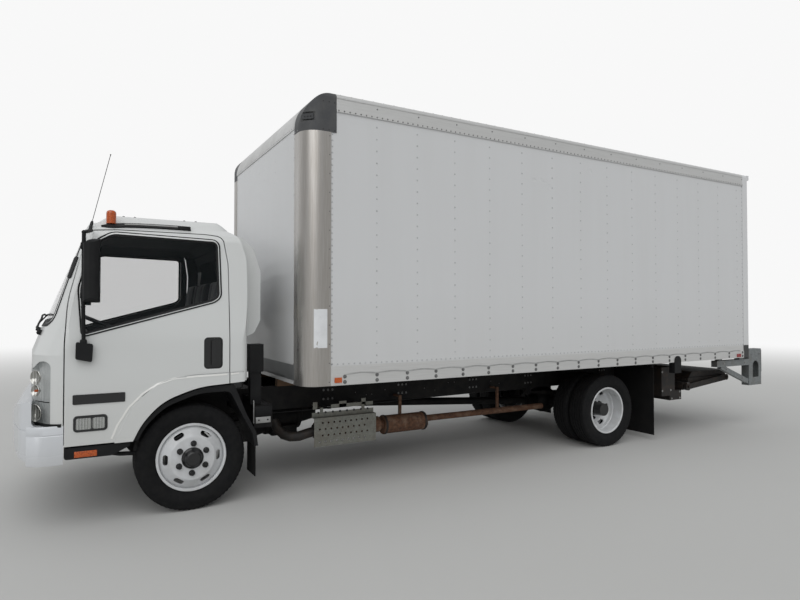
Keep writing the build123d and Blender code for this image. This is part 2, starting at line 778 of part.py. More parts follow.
groove -= along_z(inset(BUMPER_PLAN, GROOVE_DEEP), GROOVE_LOW, GROOVE_HIGH)
bumper -= groove & block(-WIDE, WIDE, -1400, -870, GROOVE_LOW, GROOVE_HIGH)
INTAKE_HALF = 430.0
intake_slot = along_y(outline([
    (-INTAKE_HALF, 545, 25),
    (INTAKE_HALF, 545, 25),
    (INTAKE_HALF - 20, 640, 25),
    (-INTAKE_HALF + 20, 640, 25),
]), -1400, -900)
bumper -= intake_slot
node("front_bumper", bumper)


# Chassis rails: channel section, open towards the middle
rail = block(RAIL_X - RAIL_FLANGE, RAIL_X, RAIL_FRONT, RAIL_REAR, RAIL_BOTTOM, RAIL_TOP)
rail -= block(RAIL_X - RAIL_FLANGE - 1, RAIL_X - RAIL_WALL, RAIL_FRONT - 1, RAIL_REAR + 1,
              RAIL_BOTTOM + RAIL_WALL, RAIL_TOP - RAIL_WALL)
for mount_y in (-840, 330):
    pad = block(RAIL_X - 62, RAIL_X, mount_y, mount_y + 60, RAIL_TOP, 1000)
    rail += pad - outer
rail += block(RAIL_X - 40, RAIL_X, -1300, RAIL_FRONT, 640, 720) & bumper_core
node("chassis_rails", both(rail))


# Van body: one outside form with rounded front corners and front roof edge, sliced into
# the walls, rails, posts and caps that it is really built from
EDGE_R_LEAST = 4.0


def box_form(amount):
    # the body's outside, moved in by the amount on its front, sides and top
    half = BOX_HALF - amount
    front = BOX_FRONT + amount
    top = BOX_TOP - amount
    low = BOX_BOTTOM - 1
    corner_r = CORNER_R - amount
    edge_r = max(ROOF_EDGE_R - amount, EDGE_R_LEAST)
    plan = [(-half, front, corner_r), (half, front, corner_r), (half, BOX_REAR, 0), (-half, BOX_REAR, 0)]
    side = [(front, low, 0), (BOX_REAR, low, 0), (BOX_REAR, top, 0), (front, top, FRONT_TOP_R - amount)]
    ends = [(-half, low, 0), (half, low, 0), (half, top, edge_r), (-half, top, edge_r)]
    form = along_z(outline(plan), BOX_BOTTOM, BOX_TOP)
    form &= along_x(outline(side), -BOX_HALF, BOX_HALF)
    form &= along_y(outline(ends), BOX_FRONT, BOX_REAR)
    return form


body_out = box_form(0)
body_skin = box_form(POST_OUT)
body_in = box_form(BOX_WALL)
trim_band = body_out - body_in
wall_band = body_skin - body_in

WIDE_BODY = BOX_HALF + 181.0
CORNER_IN = BOX_HALF - CORNER_R
CORNER_BACK = BOX_FRONT + CORNER_R
RAIL_EDGE = BOX_HALF - 50
FRONT_RAIL_LOW = BOX_TOP - FRONT_TOP_R
FRONT_RAIL_END = BOX_FRONT + FRONT_TOP_R

# Corner posts: rounded corner with a flat flange on each face, and the cap over it
post_zone = block(CORNER_IN, 1400, 700, CORNER_BACK, BOX_BOTTOM, CAP_BOTTOM)
post = trim_band & post_zone
flange_band = body_out - body_skin
front_flange = flange_band & block(POST_FRONT_END, CORNER_IN, 700, 900, BOX_BOTTOM, CAP_BOTTOM)
side_flange = flange_band & block(1150, 1400, CORNER_BACK, POST_SIDE_END, BOX_BOTTOM, CAP_BOTTOM)
post = post + front_flange + side_flange
cap_zone = block(POST_FRONT_END, WIDE_BODY, 700, FRONT_RAIL_END, CAP_BOTTOM, BOX_TOP + 62)
cap = trim_band & cap_zone
POCKET_DEEP = 16.0
POCKET_HALF = 62.0
POCKET_LOW = CAP_BOTTOM + 78.0
POCKET_HIGH = CAP_BOTTOM + 150.0
corner_face = Pos(CORNER_IN, CORNER_BACK, 0) * Rot(0, 0, -45)
cap -= corner_face * block(CORNER_R - POCKET_DEEP, CORNER_R + 60, -POCKET_HALF, POCKET_HALF,
                           POCKET_LOW, POCKET_HIGH)
node("corner_posts", both(post))
node("corner_caps", both(cap))

# Walls: front wall and two side walls, each a smooth panel
front_wall = wall_band & block(-CORNER_IN, CORNER_IN, 700, 900, BOX_BOTTOM, CAP_BOTTOM)
front_top = wall_band & block(-POST_FRONT_END, POST_FRONT_END, 700, 900, CAP_BOTTOM, FRONT_RAIL_LOW)
front_wall += front_top
side_wall = block(BOX_HALF - BOX_WALL, BOX_HALF - POST_OUT, CORNER_BACK, REAR_POST_FRONT,
                  LOW_RAIL_TOP, CAP_BOTTOM)
side_wall += block(BOX_HALF - BOX_WALL, BOX_HALF - POST_OUT, FRONT_RAIL_END, REAR_POST_FRONT,
                   CAP_BOTTOM, TOP_RAIL_LOW)
low_fill = block(BOX_HALF - BOX_WALL, BOX_HALF - POST_OUT, CORNER_BACK, POST_SIDE_END,
                 BOX_BOTTOM, LOW_RAIL_TOP)
side_wall += low_fill
node("front_wall", front_wall)
node("side_walls", both(side_wall))

# Rails: rounded front roof rail, top side rails, and the stepped bottom side rails
front_rail = trim_band & block(-POST_FRONT_END, POST_FRONT_END, 700, FRONT_RAIL_END, FRONT_RAIL_LOW, 3400)
RAIL_LIP = 4.0
top_rail = trim_band & block(RAIL_EDGE, 1400, FRONT_RAIL_END, REAR_POST_FRONT, TOP_RAIL_LOW, 3400)
for lip_low, lip_high in ((TOP_RAIL_LOW, TOP_RAIL_LOW + 24), (BOX_TOP - 46, BOX_TOP - 34)):
    top_rail += block(BOX_HALF - 1, BOX_HALF + RAIL_LIP, FRONT_RAIL_END, REAR_POST_FRONT, lip_low, lip_high)
low_rail = block(BOX_HALF - BOX_WALL - 12, BOX_HALF - 5, POST_SIDE_END, REAR_POST_FRONT,
                 LOW_RAIL_STEP, LOW_RAIL_TOP)
low_rail += block(BOX_HALF - BOX_WALL - 12, BOX_HALF, POST_SIDE_END, REAR_POST_FRONT,
                  BOX_BOTTOM, LOW_RAIL_STEP)
node("body_rails", [front_rail] + both(top_rail) + both(low_rail))

# Roof sheet between the rails
roof = block(-RAIL_EDGE, RAIL_EDGE, FRONT_RAIL_END, REAR_POST_FRONT, BOX_TOP - BOX_WALL, BOX_TOP - 4)
node("body_roof", roof)

# Floor: deck on cross sills on two long sills that sit on the chassis rails
FLOOR_EDGE = BOX_HALF - BOX_WALL - 12
SILL_WIDE = 50.0
SILL_FIRST = BOX_FRONT + 252.0
SILL_COUNT = int((REAR_POST_FRONT - SILL_FIRST) / POST_PITCH) + 1
floor_front = BOX_FRONT + BOX_WALL
deck = block(-FLOOR_EDGE, FLOOR_EDGE, floor_front, REAR_POST_FRONT, DECK_TOP - DECK_WALL, DECK_TOP)
deck -= block(CORNER_IN - 60, 1300, 700, CORNER_BACK, 900, 1100)
deck -= block(-1300, -CORNER_IN + 60, 700, CORNER_BACK, 900, 1100)
for k in range(SILL_COUNT):
    middle = SILL_FIRST + k * POST_PITCH
    deck += block(-FLOOR_EDGE, FLOOR_EDGE, middle - SILL_WIDE / 2, middle + SILL_WIDE / 2,
                  BOX_BOTTOM, DECK_TOP - DECK_WALL)
for side in (-1, 1):
    middle = side * (RAIL_X - RAIL_FLANGE / 2)
    deck += block(middle - 35, middle + 35, floor_front, REAR_POST_FRONT, RAIL_TOP, DECK_TOP - DECK_WALL)
node("body_floor", deck)

# Rear frame: posts, header and threshold round the doorway
frame = block(-BOX_HALF, BOX_HALF, REAR_POST_FRONT, BOX_REAR, BOX_BOTTOM, BOX_TOP)
frame &= body_out
frame -= block(-DOORWAY_HALF, DOORWAY_HALF, REAR_POST_FRONT - 1, BOX_REAR + 1, DECK_TOP, HEADER_LOW)
frame += block(-BOX_HALF, BOX_HALF, BOX_REAR, HEADER_OUT, BOX_TOP - 70, BOX_TOP - 10)
node("rear_frame", frame)

# Roll-up door, closed: level panels with a shallow joint between them
DOOR_PANELS = 7
DOOR_FACE = BOX_REAR - 43.0
DOOR_THICK = 25.0
JOINT_DEEP = 6.0
door_low = DECK_TOP + 1
door_step = (HEADER_LOW - 1 - door_low) / DOOR_PANELS
shutter = block(-DOORWAY_HALF, DOORWAY_HALF, DOOR_FACE - DOOR_THICK, DOOR_FACE, DECK_TOP, HEADER_LOW)
for k in range(1, DOOR_PANELS):
    level = door_low + k * door_step
    shutter -= block(-1200, 1200, DOOR_FACE - JOINT_DEEP, DOOR_FACE + 1, level - 5, level + 5)
shutter += block(-70, 70, DOOR_FACE, DOOR_FACE + 18, DECK_TOP + 65, DECK_TOP + 105)
node("roll_up_door", shutter)


# Exhaust on the left: perforated heat shield, muffler and tail pipe
EXHAUST_X = 600.0
MUFFLER_R = 88.0
PIPE_R = 32.0
PIPE_Z = 423.0
muffler = rod_y(1823, 2300, EXHAUST_X, PIPE_Z, MUFFLER_R)
exhaust = rod_y(1780, 1823, EXHAUST_X, PIPE_Z, 45)
exhaust += muffler
exhaust += rod_y(2300, WHEELBASE - 525, EXHAUST_X - 60, PIPE_Z + 6, PIPE_R)
exhaust += rod_y(1130, 1780, EXHAUST_X, PIPE_Z + 12, 75)
for hanger_y in (2060, 3300):
    exhaust += block(EXHAUST_X - 75, EXHAUST_X - 55, hanger_y - 15, hanger_y + 15, PIPE_Z, RAIL_BOTTOM + 60)
    exhaust += block(RAIL_X, EXHAUST_X - 55, hanger_y - 15, hanger_y + 15, RAIL_BOTTOM + 40, RAIL_BOTTOM + 60)
node("exhaust", exhaust)

SHIELD_X = 700.0
SHIELD_WALL = 4.0
HOLE_R = 9.0
HOLE_ROWS = 4
HOLE_COLUMNS = 9
HOLE_PITCH = 56.0
shield = block(SHIELD_X - SHIELD_WALL, SHIELD_X, 1086, 1708, 307, 560)
shield += block(SHIELD_X - 60, SHIELD_X, 1086, 1708, 560, 560 + SHIELD_WALL)
shield += block(SHIELD_X - 60, SHIELD_X - 60 + SHIELD_WALL, 1086, 1708, 560, 606)
for row in range(HOLE_ROWS):
    for column in range(HOLE_COLUMNS):
        hole_y = 1140 + column * HOLE_PITCH + (row % 2) * HOLE_PITCH / 2
        shield -= rod_x(SHIELD_X - 20, SHIELD_X + 20, hole_y, 350 + row * HOLE_PITCH, HOLE_R)
for hanger_y in (1180, 1600):
    shield += block(RAIL_X, SHIELD_X - 60, hanger_y - 15, hanger_y + 15, 640, 646)
    shield += block(SHIELD_X - 66, SHIELD_X - 60, hanger_y - 15, hanger_y + 15, 570, 646)
node("heat_shield", shield)

# Boxes and tanks on the chassis, and the air intake behind the cab
TANK_ENDS = [(-RAIL_X, 440, 60), (-930, 440, 60), (-930, 810, 60), (-RAIL_X, 810, 60)]
fuel_tank = along_y(outline(TANK_ENDS), 1500, 2700)
battery_box = block(RAIL_X, 830, 507, 660, 560, 744.5)
tool_box = block(-820, -RAIL_X, 900, 1300, 470, 800)
node("chassis_boxes", [fuel_tank, battery_box, tool_box])
intake = block(640, 760, 487, 605, 1016, 1250)
intake += block(660, 740, 500, 590, 745, 1016)
intake += block(RAIL_X, 740, 520, 570, 745, 790)
node("air_intake", intake)

# Front wings: black band round each wheel opening, with the part behind the wheel
WING_IN_X = CAB_HALF - 320.0
WING_RIM_X = CAB_HALF - 120.0
WING_RIM_END = -150.0
WING_OUT_X = CAB_HALF - 12.0
ARCH_OUT = [
    (-416, 592, 0),
    (-365, 699, 480),
    (-226, 845, 400),
    (28, 940, 680),
    (300, 957, 0),
    (398, 716, 160),
    (478, 560, 60),
    (492, 454, 0),
    (462, 454, 0),
    (448, 556, 60),
    (368, 704, 160),
    (268, 905, 60),
    (36, 905, 500),
    (-210, 818, 360),
    (-340, 690, 440),
    (-390, 592, 0),
]
wing = along_x(outline(ARCH_OUT), WING_RIM_X, WING_OUT_X)
behind_wheel = block(WING_IN_X, WING_RIM_X, WING_RIM_END, 700, 400, 1000)
wing += along_x(outline(ARCH_OUT), WING_IN_X, WING_RIM_X) & behind_wheel
wing += block(RAIL_X, WING_IN_X, 380, 410, 700, 740)
flap_front = block(FRONT_WHEEL_X - 72, FRONT_WHEEL_X + 168, 468, 474, 210, 454)
node("front_wings", both(wing))

# Mud flaps, two in front and two wide ones behind the rear wheels
REAR_FLAP_Y = WHEELBASE + 685.0
FLAP_IN_X = REAR_INNER_X - 137.0
FLAP_OUT_X = REAR_OUTER_X + 178.0
rear_flap = block(FLAP_IN_X, FLAP_OUT_X, REAR_FLAP_Y, REAR_FLAP_Y + 8, 70, BOX_BOTTOM - 19)
flap_hook = block(FLAP_IN_X, FLAP_OUT_X, REAR_FLAP_Y - 30, REAR_FLAP_Y, BOX_BOTTOM - 59, BOX_BOTTOM)
node("mud_flaps", both(flap_front) + both(rear_flap + flap_hook))

# Sills and steps below the doors
SILL_SIDE = [(-855, 584, 0), (-855, 505, 20), (-560, 505, 30), (-440, 560, 20), (-440, 584, 0)]
sill = along_x(outline(SILL_SIDE), 640, CAB_HALF - 15)
sill += block(640, 760, -855, -700, 584, CAB_FLOOR)
node("door_steps", both(sill))

# Liftgate: cross tube on two plates, arms that swing down, and the folded platform
LIFT_PIVOT_Y = BOX_REAR - 893.0
LIFT_PIVOT_Z = 560.0
ARM_END_Y = BOX_REAR - 68.0
ARM_END_Z = 640.0
ARM_IN_X = 925.0
ARM_OUT_X = 960.0
PLATFORM_HALF = 900.0
PLATFORM_LOW = 597.0
PLATFORM_TOP = 738.0
PIVOT_PIN_R = 18.0
PUMP_REAR = LIFT_PIVOT_Y - 336.0
CYLINDER_REAR = LIFT_PIVOT_Y - 65.0
lift_frame = block(-ARM_IN_X + 20, ARM_IN_X - 20, LIFT_PIVOT_Y - 50, LIFT_PIVOT_Y + 45, 515, 605)
for side in (-1, 1):
    lift_frame += block(side * RAIL_X, side * (RAIL_X + 14), LIFT_PIVOT_Y - 115, LIFT_PIVOT_Y + 45,
                        515, RAIL_TOP - 5)
    lift_frame += rod_x(side * (ARM_IN_X - 21), side * (ARM_OUT_X + 20),
                        LIFT_PIVOT_Y, LIFT_PIVOT_Z, PIVOT_PIN_R)
lift_frame += block(700, 1000, PUMP_REAR - 251, PUMP_REAR, 483, 838)
lift_frame += block(RAIL_X, 700, PUMP_REAR - 179, PUMP_REAR - 99, 700, 780)
lift_frame += block(640, 900, CYLINDER_REAR - 230, CYLINDER_REAR, 400, 520)
lift_frame += block(740, 800, CYLINDER_REAR - 150, CYLINDER_REAR - 90, 520, 700)
lift_frame += block(RAIL_X, 800, CYLINDER_REAR - 150, CYLINDER_REAR - 90, 700, 740)
node("liftgate_frame", lift_frame)

arm_run = bar(LIFT_PIVOT_Y, LIFT_PIVOT_Z, ARM_END_Y, ARM_END_Z, 70, ARM_IN_X, ARM_OUT_X)
arm_run += rod_x(ARM_IN_X, ARM_OUT_X, LIFT_PIVOT_Y, LIFT_PIVOT_Z, 48)
arm_run += rod_x(ARM_IN_X, ARM_OUT_X, ARM_END_Y, ARM_END_Z, 40)
arm_run -= rod_x(ARM_IN_X - 5, ARM_OUT_X + 5, LIFT_PIVOT_Y, LIFT_PIVOT_Z, PIVOT_PIN_R + SOFT_GAP)
arm_run -= rod_x(ARM_IN_X - 5, ARM_OUT_X + 5, ARM_END_Y, ARM_END_Z, PIVOT_PIN_R + SOFT_GAP)
node("liftgate_arms", both(arm_run))

PLATFORM_REAR = ARM_END_Y + 65.0
PLATFORM_FRONT = ARM_END_Y - 750.0
platform = along_x(outline([
    (PLATFORM_FRONT, PLATFORM_LOW, 20),
    (PLATFORM_REAR - 35, PLATFORM_LOW, 20),
    (PLATFORM_REAR, 660, 30),
    (PLATFORM_REAR, PLATFORM_TOP, 20),
    (PLATFORM_FRONT + 80, PLATFORM_TOP, 30),
    (PLATFORM_FRONT, 650, 10),
]), -PLATFORM_HALF, PLATFORM_HALF)
platform -= block(-1000, 1000, PLATFORM_FRONT - 5, ARM_END_Y - 10, 664, 670)
platform += rod_x(-ARM_OUT_X - 12, ARM_OUT_X + 12, ARM_END_Y, ARM_END_Z, PIVOT_PIN_R)
node("liftgate_platform", platform)

# Step blocks at both rear corners: square tube, brace, block with a cut-out, rubber strip
STEP_IN_X = BOX_HALF - 169.0
STEP_OUT_X = BOX_HALF - 69.0
STEP_FRONT = TAIL_END - 315.0
STEP_REAR = TAIL_END - 25.0
STEP_LOW = 535.0
STEP_TOP = 1020.0
STEP_WALL = 8.0
STEP_HOLES = (STEP_FRONT + 60, STEP_FRONT + 240)
STEP_HOLE_Z = 946.0
STEP_HOLE_R = 8.0
step = block(STEP_IN_X, STEP_OUT_X, STEP_FRONT, STEP_REAR, STEP_LOW, STEP_TOP)
step -= block(STEP_IN_X + STEP_WALL, STEP_OUT_X - STEP_WALL, STEP_FRONT + STEP_WALL, STEP_REAR - STEP_WALL,
              STEP_LOW - 1, STEP_TOP - STEP_WALL)
cut_front = STEP_FRONT + 90
cut_rear = STEP_FRONT + 230
cut_out = outline([(cut_front, 640, 10), (cut_rear, 640, 10), (cut_rear, 860, 68), (cut_front, 860, 68)])
step -= along_x(cut_out, STEP_IN_X - 5, STEP_OUT_X + 5)
for hole_y in STEP_HOLES:
    step -= rod_x(STEP_OUT_X - 20, STEP_OUT_X + 5, hole_y, STEP_HOLE_Z, STEP_HOLE_R)
step += block(STEP_IN_X + 30, STEP_OUT_X + 10, STEP_FRONT - 723, STEP_FRONT, 810, 890)
step += bar(STEP_FRONT - 610, 812, STEP_FRONT - 5, 590, 60, STEP_IN_X + 45, STEP_OUT_X - 5)
step += block(STEP_IN_X + 45, STEP_OUT_X - 5, STEP_FRONT - 670, STEP_FRONT - 590, 890, BOX_BOTTOM)
step += block(STEP_IN_X + 35, STEP_OUT_X + 5, STEP_FRONT - 222, STEP_FRONT - 130, 890, BOX_BOTTOM)
node("step_blocks", both(step))
rubber = block(STEP_IN_X + 10, STEP_OUT_X - 10, STEP_REAR, TAIL_END, 704, 1000)
node("step_rubbers", both(rubber))

# Cab inside: two seats with a middle seat, dashboard with the steering wheel
SEATS = [
    # x of the middle, width
    (560, 500),
    (-640, 420),
    (-130, 560),
]
seats = []
for seat_x, seat_wide in SEATS:
    cushion = along_x(outline([(-330, 1180, 40), (-330, 1290, 45), (180, 1260, 40), (180, 1180, 0)]),
                      seat_x - seat_wide / 2, seat_x + seat_wide / 2)
    back = along_x(outline([(130, 1262, 0), (235, 1262, 30), (340, 1800, 50), (240, 1815, 50)]),
                   seat_x - seat_wide / 2 + 15, seat_x + seat_wide / 2 - 15)
    base = block(seat_x - seat_wide / 2 + 40, seat_x + seat_wide / 2 - 40, -180, 170, 800, 1180) & inner
    seats.append(cushion + back + base)
node("cab_seats", seats)

DASH_HALF = CAB_HALF - 90.0
DASH_SIDE = [(-1040, 930, 0), (-700, 930, 60), (-640, 1240, 80), (-700, 1372, 60), (-1010, 1380, 20)]
dash = along_x(outline(DASH_SIDE), -DASH_HALF, DASH_HALF)
dash &= inner
dash &= block(-DASH_HALF, DASH_HALF, -1100, -600, 931, 1400)
column_low = Vector(560, -640, 1180)
column_top = Vector(560, -540, 1400)
column_axis = (column_top - column_low).normalized()
column_long = (column_top - column_low).length
column_plane = Plane(origin=column_low, z_dir=column_axis)
dash += column_plane * Pos(0, 0, column_long / 2) * Cylinder(32, column_long)
wheel_plane = Plane(origin=column_top, z_dir=column_axis)
dash += wheel_plane * Torus(215, 15)
dash += wheel_plane * Pos(0, 0, -8) * Cylinder(62, 34)
for turn in (0, 120, 240):
    dash += wheel_plane * Rot(0, 0, turn + 90) * Pos(118, 0, 0) * Box(196, 30, 12)
node("dashboard", dash)

# Lamps on the body: amber and red side lamps, roof markers on the cab, rear lamps
lamps = []
SIDE_LAMPS = [
    # y from, y to, z from, z to
    (BOX_FRONT + 267, BOX_FRONT + 331, BOX_BOTTOM + 23, BOX_BOTTOM + 65),
    (BOX_REAR - 268, BOX_REAR - 184, BOX_BOTTOM + 13, BOX_BOTTOM + 55),
]
for lamp_y0, lamp_y1, lamp_z0, lamp_z1 in SIDE_LAMPS:
    lamps += both(block(BOX_HALF, BOX_HALF + 9, lamp_y0, lamp_y1, lamp_z0, lamp_z1))
pocket_lens = corner_face * block(CORNER_R - POCKET_DEEP, CORNER_R - 4, -POCKET_HALF + 14, POCKET_HALF - 14,
                                  POCKET_LOW + 14, POCKET_HIGH - 14)
lamps += both(pocket_lens)
HEADER_LAMP_HALF = 50.0
for lamp_x in (-1080, -200, 0, 200, 1080):
    lamps.append(block(lamp_x - HEADER_LAMP_HALF, lamp_x + HEADER_LAMP_HALF, HEADER_OUT, HEADER_OUT + 14,
                       BOX_TOP - 56, BOX_TOP - 24))
REAR_LAMP_R = 52.0
for lamp_x in (820, 960):
    lamps += both(rod_y(BOX_REAR, BOX_REAR + 16, lamp_x, BOX_BOTTOM + 63, REAR_LAMP_R))
ROOF_LAMP_R = 34.0
ROOF_LAMP_Y = -566.0
ROOF_LAMP_TOP = 2284.0
ROOF_LAMP_HIGH = 100.0
ROOF_LAMP_ROUND = 24.0
for lamp_x in (-800, -150, 0, 150, 800):
    dome = Cylinder(ROOF_LAMP_R, ROOF_LAMP_HIGH)
    dome = fillet(dome.edges().group_by(Axis.Z)[-1], ROOF_LAMP_ROUND)
    lamps.append(Pos(lamp_x, ROOF_LAMP_Y, ROOF_LAMP_TOP - ROOF_LAMP_HIGH / 2) * dome - outer)
node("side_lamps", lamps)

for name, shape in NODES.items():
    export_step(shape, "parts/" + name + ".step")
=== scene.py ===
import math

import bmesh
import bpy
from mathutils import Matrix, Vector
from mathutils.bvhtree import BVHTree


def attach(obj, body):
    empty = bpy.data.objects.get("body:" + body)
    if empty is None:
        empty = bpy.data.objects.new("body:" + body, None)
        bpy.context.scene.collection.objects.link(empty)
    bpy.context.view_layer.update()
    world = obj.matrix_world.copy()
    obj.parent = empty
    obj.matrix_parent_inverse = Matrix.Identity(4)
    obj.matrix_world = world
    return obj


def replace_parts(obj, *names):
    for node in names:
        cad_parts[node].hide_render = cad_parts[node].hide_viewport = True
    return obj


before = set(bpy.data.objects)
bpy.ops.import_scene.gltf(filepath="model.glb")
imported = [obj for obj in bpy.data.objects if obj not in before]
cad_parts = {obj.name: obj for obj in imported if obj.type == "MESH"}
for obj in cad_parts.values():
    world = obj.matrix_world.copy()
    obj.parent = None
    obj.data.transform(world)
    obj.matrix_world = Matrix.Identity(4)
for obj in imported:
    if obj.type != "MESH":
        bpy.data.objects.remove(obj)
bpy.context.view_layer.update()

# Places that the looks need, in metres, in the frame of the model
FRONT_AXLE_Y = -3.098
REAR_AXLE_Y = FRONT_AXLE_Y + 4.475
AXLE_Z = 0.4055
BODY_HALF = 1.219
BODY_FRONT_Y = FRONT_AXLE_Y + 0.793
BODY_REAR_Y = FRONT_AXLE_Y + 6.968
HUB_RADIUS = 0.0815
NUT_CIRCLE_OUT = 0.135
DRUM_RADIUS = 0.192
DRUM_BACK = 0.035
FRONT_FACE_X = 0.832 + 0.1285
REAR_FACE_X = 0.8245 + 0.0112
TRUCK_LEFT = 1
TRUCK_RIGHT = -1
SIDES = (TRUCK_LEFT, TRUCK_RIGHT)
WORDS = {TRUCK_LEFT: "left", TRUCK_RIGHT: "right"}
WHITE = (1, 1, 1, 1)
MOULDING_BLACK = "121314"
FOOT_BLACK = "141517"
HUB_BLACK = "161617"


class Wire:
    # one output of a node; a sum written with wires becomes the nodes that work it out
    def __init__(self, tree, node, out=0):
        self.tree = tree
        self.node = node
        self.socket = node.outputs[out]

    def __getitem__(self, out):
        return Wire(self.tree, self.node, out)

    def maths(self, operation, other=0.0):
        return add(self.tree, "ShaderNodeMath", {0: self, 1: other}, operation=operation)

    def __add__(self, other):
        return self.maths("ADD", other)

    def __sub__(self, other):
        return self.maths("SUBTRACT", other)

    def __mul__(self, other):
        return self.maths("MULTIPLY", other)

    def __rsub__(self, other):
        return add(self.tree, "ShaderNodeMath", {0: other, 1: self}, operation="SUBTRACT")


def add(tree, kind, feeds=None, out=0, **settings):
    # a node with its settings; each input is fed a fixed value or the wire of another node
    node = tree.nodes.new(kind)
    for key, value in settings.items():
        setattr(node, key, value)
    for socket, value in (feeds or {}).items():
        if isinstance(value, Wire):
            tree.links.new(value.socket, node.inputs[socket])
        else:
            node.inputs[socket].default_value = value
    return Wire(tree, node, out) if len(node.outputs) else None


def linear(hex_colour):
    # an sRGB hex colour as the linear values that the shaders take
    values = []
    for start in (0, 2, 4):
        part = int(hex_colour[start:start + 2], 16) / 255
        values.append(part / 12.92 if part <= 0.04045 else ((part + 0.055) / 1.055) ** 2.4)
    return tuple(values) + (1.0,)


def surface(name, roughness=0.5, metallic=0.0, **values):
    # a new material with one shader, whose even values are set on its own sockets, and the
    # wire that gives the place on the model
    made = bpy.data.materials.new(name)
    made.use_nodes = True
    tree = made.node_tree
    tree.nodes.clear()
    even = {key.replace("_", " "): value for key, value in values.items()}
    shader = add(tree, "ShaderNodeBsdfPrincipled", {"Roughness": roughness, "Metallic": metallic, **even})
    add(tree, "ShaderNodeOutputMaterial", {"Surface": shader})
    return made, add(tree, "ShaderNodeTexCoord")["Object"]


def finish(made, colour, rough=None, bump=None):
    # the wires into the shader; the bump is its height, its depth in mm and its strength
    tree = made.node_tree
    feeds = {"Base Color": colour}
    if rough is not None:
        feeds["Roughness"] = rough
    if bump is not None:
        height, depth_mm, strength = bump
        feeds["Normal"] = add(tree, "ShaderNodeBump",
                              {"Height": height, "Distance": depth_mm / 1000, "Strength": strength})
    for socket, wire in feeds.items():
        tree.links.new(wire.socket, tree.nodes["Principled BSDF"].inputs[socket])
    return made


def blend(mask, low, high):
    # a mix of two colours, each a hex value or a wire
    low, high = (linear(value) if isinstance(value, str) else value for value in (low, high))
    return add(mask.tree, "ShaderNodeMix", {0: mask, 6: low, 7: high}, 2, data_type="RGBA")


def patches(place, size_mm, low, high, stretch=(1, 1, 1), detail=4.0):
    # soft patches of the given real size, as a mask from 0 to 1
    drawn_out = add(place.tree, "ShaderNodeMapping", {"Vector": place, "Scale": stretch})
    noise = add(place.tree, "ShaderNodeTexNoise",
                {"Vector": drawn_out, "Scale": 1000 / size_mm, "Detail": detail, "Roughness": 0.55})
    return add(place.tree, "ShaderNodeMapRange", {"Value": noise, "From Min": low, "From Max": high})


def axes(place):
    parts = add(place.tree, "ShaderNodeSeparateXYZ", {"Vector": place})
    return parts[0], parts[1], parts[2]


def above(place, axis, start, end):
    # a ramp along one axis, 0 before the start and 1 past the end
    return add(place.tree, "ShaderNodeMapRange",
               {"Value": axes(place)[axis], "From Min": start, "From Max": end})


def rounded_mask(place, y_mid, z_mid, y_half, z_half, radius):
    # 1 inside a rounded rectangle seen from the truck's side, 0 outside it
    x, y, z = axes(place)
    along, up = [((line - middle).maths("ABSOLUTE") - (half - radius)).maths("MAXIMUM")
                 for line, middle, half in ((y, y_mid, y_half), (z, z_mid, z_half))]
    return (along * along + up * up).maths("SQRT").maths("LESS_THAN", radius)


def mottled(name, roughness, metallic, colours, spots, grain=None, **values):
    # one colour with patches of a second; the spots are their size in mm, low, high and
    # share, the grain is its size in mm, detail, depth in mm and strength
    made, place = surface(name, roughness, metallic, **values)
    size_mm, low, high, share = spots
    mask = patches(place, size_mm, low, high) * share
    bump = None
    if grain:
        grain_mm, detail, depth_mm, strength = grain
        bump = (patches(place, grain_mm, 0.3, 0.7, detail=detail), depth_mm, strength)
    return finish(made, blend(mask, *colours), bump=bump)


def painted_steel(name, colour, dirt, dirt_top, roughness=0.3, plastic_areas=(), dark_below=None):
    # gloss paint on pressed steel with a thin even road film that fades with height; the
    # plastic areas (y, z, half y, half z, radius) are dark mouldings let into the paint
    made, place = surface(name, roughness, Coat_Weight=0.4, Coat_Roughness=0.08)
    low = 1.0 - above(place, 2, 0.3, dirt_top)
    film = patches(place, 700, 0.2, 0.9, detail=6.0) * 0.3 + 0.15
    mask = film * low + patches(place, 1800, 0.3, 0.9) * 0.06
    painted = blend(mask, colour, dirt)
    for y_mid, *rest in plastic_areas:
        painted = blend(rounded_mask(place, FRONT_AXLE_Y + y_mid, *rest), painted, MOULDING_BLACK)
    if dark_below is not None:
        foot = 1.0 - above(place, 2, dark_below - 0.002, dark_below)
        painted = blend(foot, painted, FOOT_BLACK)
    return finish(made, painted, mask * 0.35 + roughness)


def panel_skin(name, roughness, dents=()):
    # thin pre-painted sheet glued to the wall core: cool white with faint washed streaks
    made, place = surface(name, roughness)
    low = 1.0 - above(place, 2, 1.05, 1.7)
    mask = patches(place, 240, 0.42, 0.80, stretch=(1.0, 1.0, 0.10)) * 0.07 + low * 0.12
    height = patches(place, 420, 0.2, 0.8, detail=1.0) * 0.1
    for y_mid, z_mid, y_half, z_half in dents:
        area = rounded_mask(place, y_mid, z_mid, y_half, z_half, min(y_half, z_half) * 0.9)
        height = height - area * patches(place, 55, 0.45, 0.9, detail=1.0)
    return finish(made, blend(mask, "D0D1D2", "A9A8A3"), bump=(height, 9.0, 0.5))


def rolled_aluminium(name, colour, tarnish, roughness, streak=(1, 1, 0.04), metallic=0.85):
    # mill finish extrusion: fine draw lines along its length, and dull grey bloom
    made, place = surface(name, roughness, metallic)
    lines = patches(place, 9, 0.3, 0.7, stretch=streak)
    mask = lines * 0.25 + patches(place, 260, 0.35, 0.75, stretch=streak) * 0.45
    return finish(made, blend(mask, colour, tarnish), mask * 0.25 + roughness)


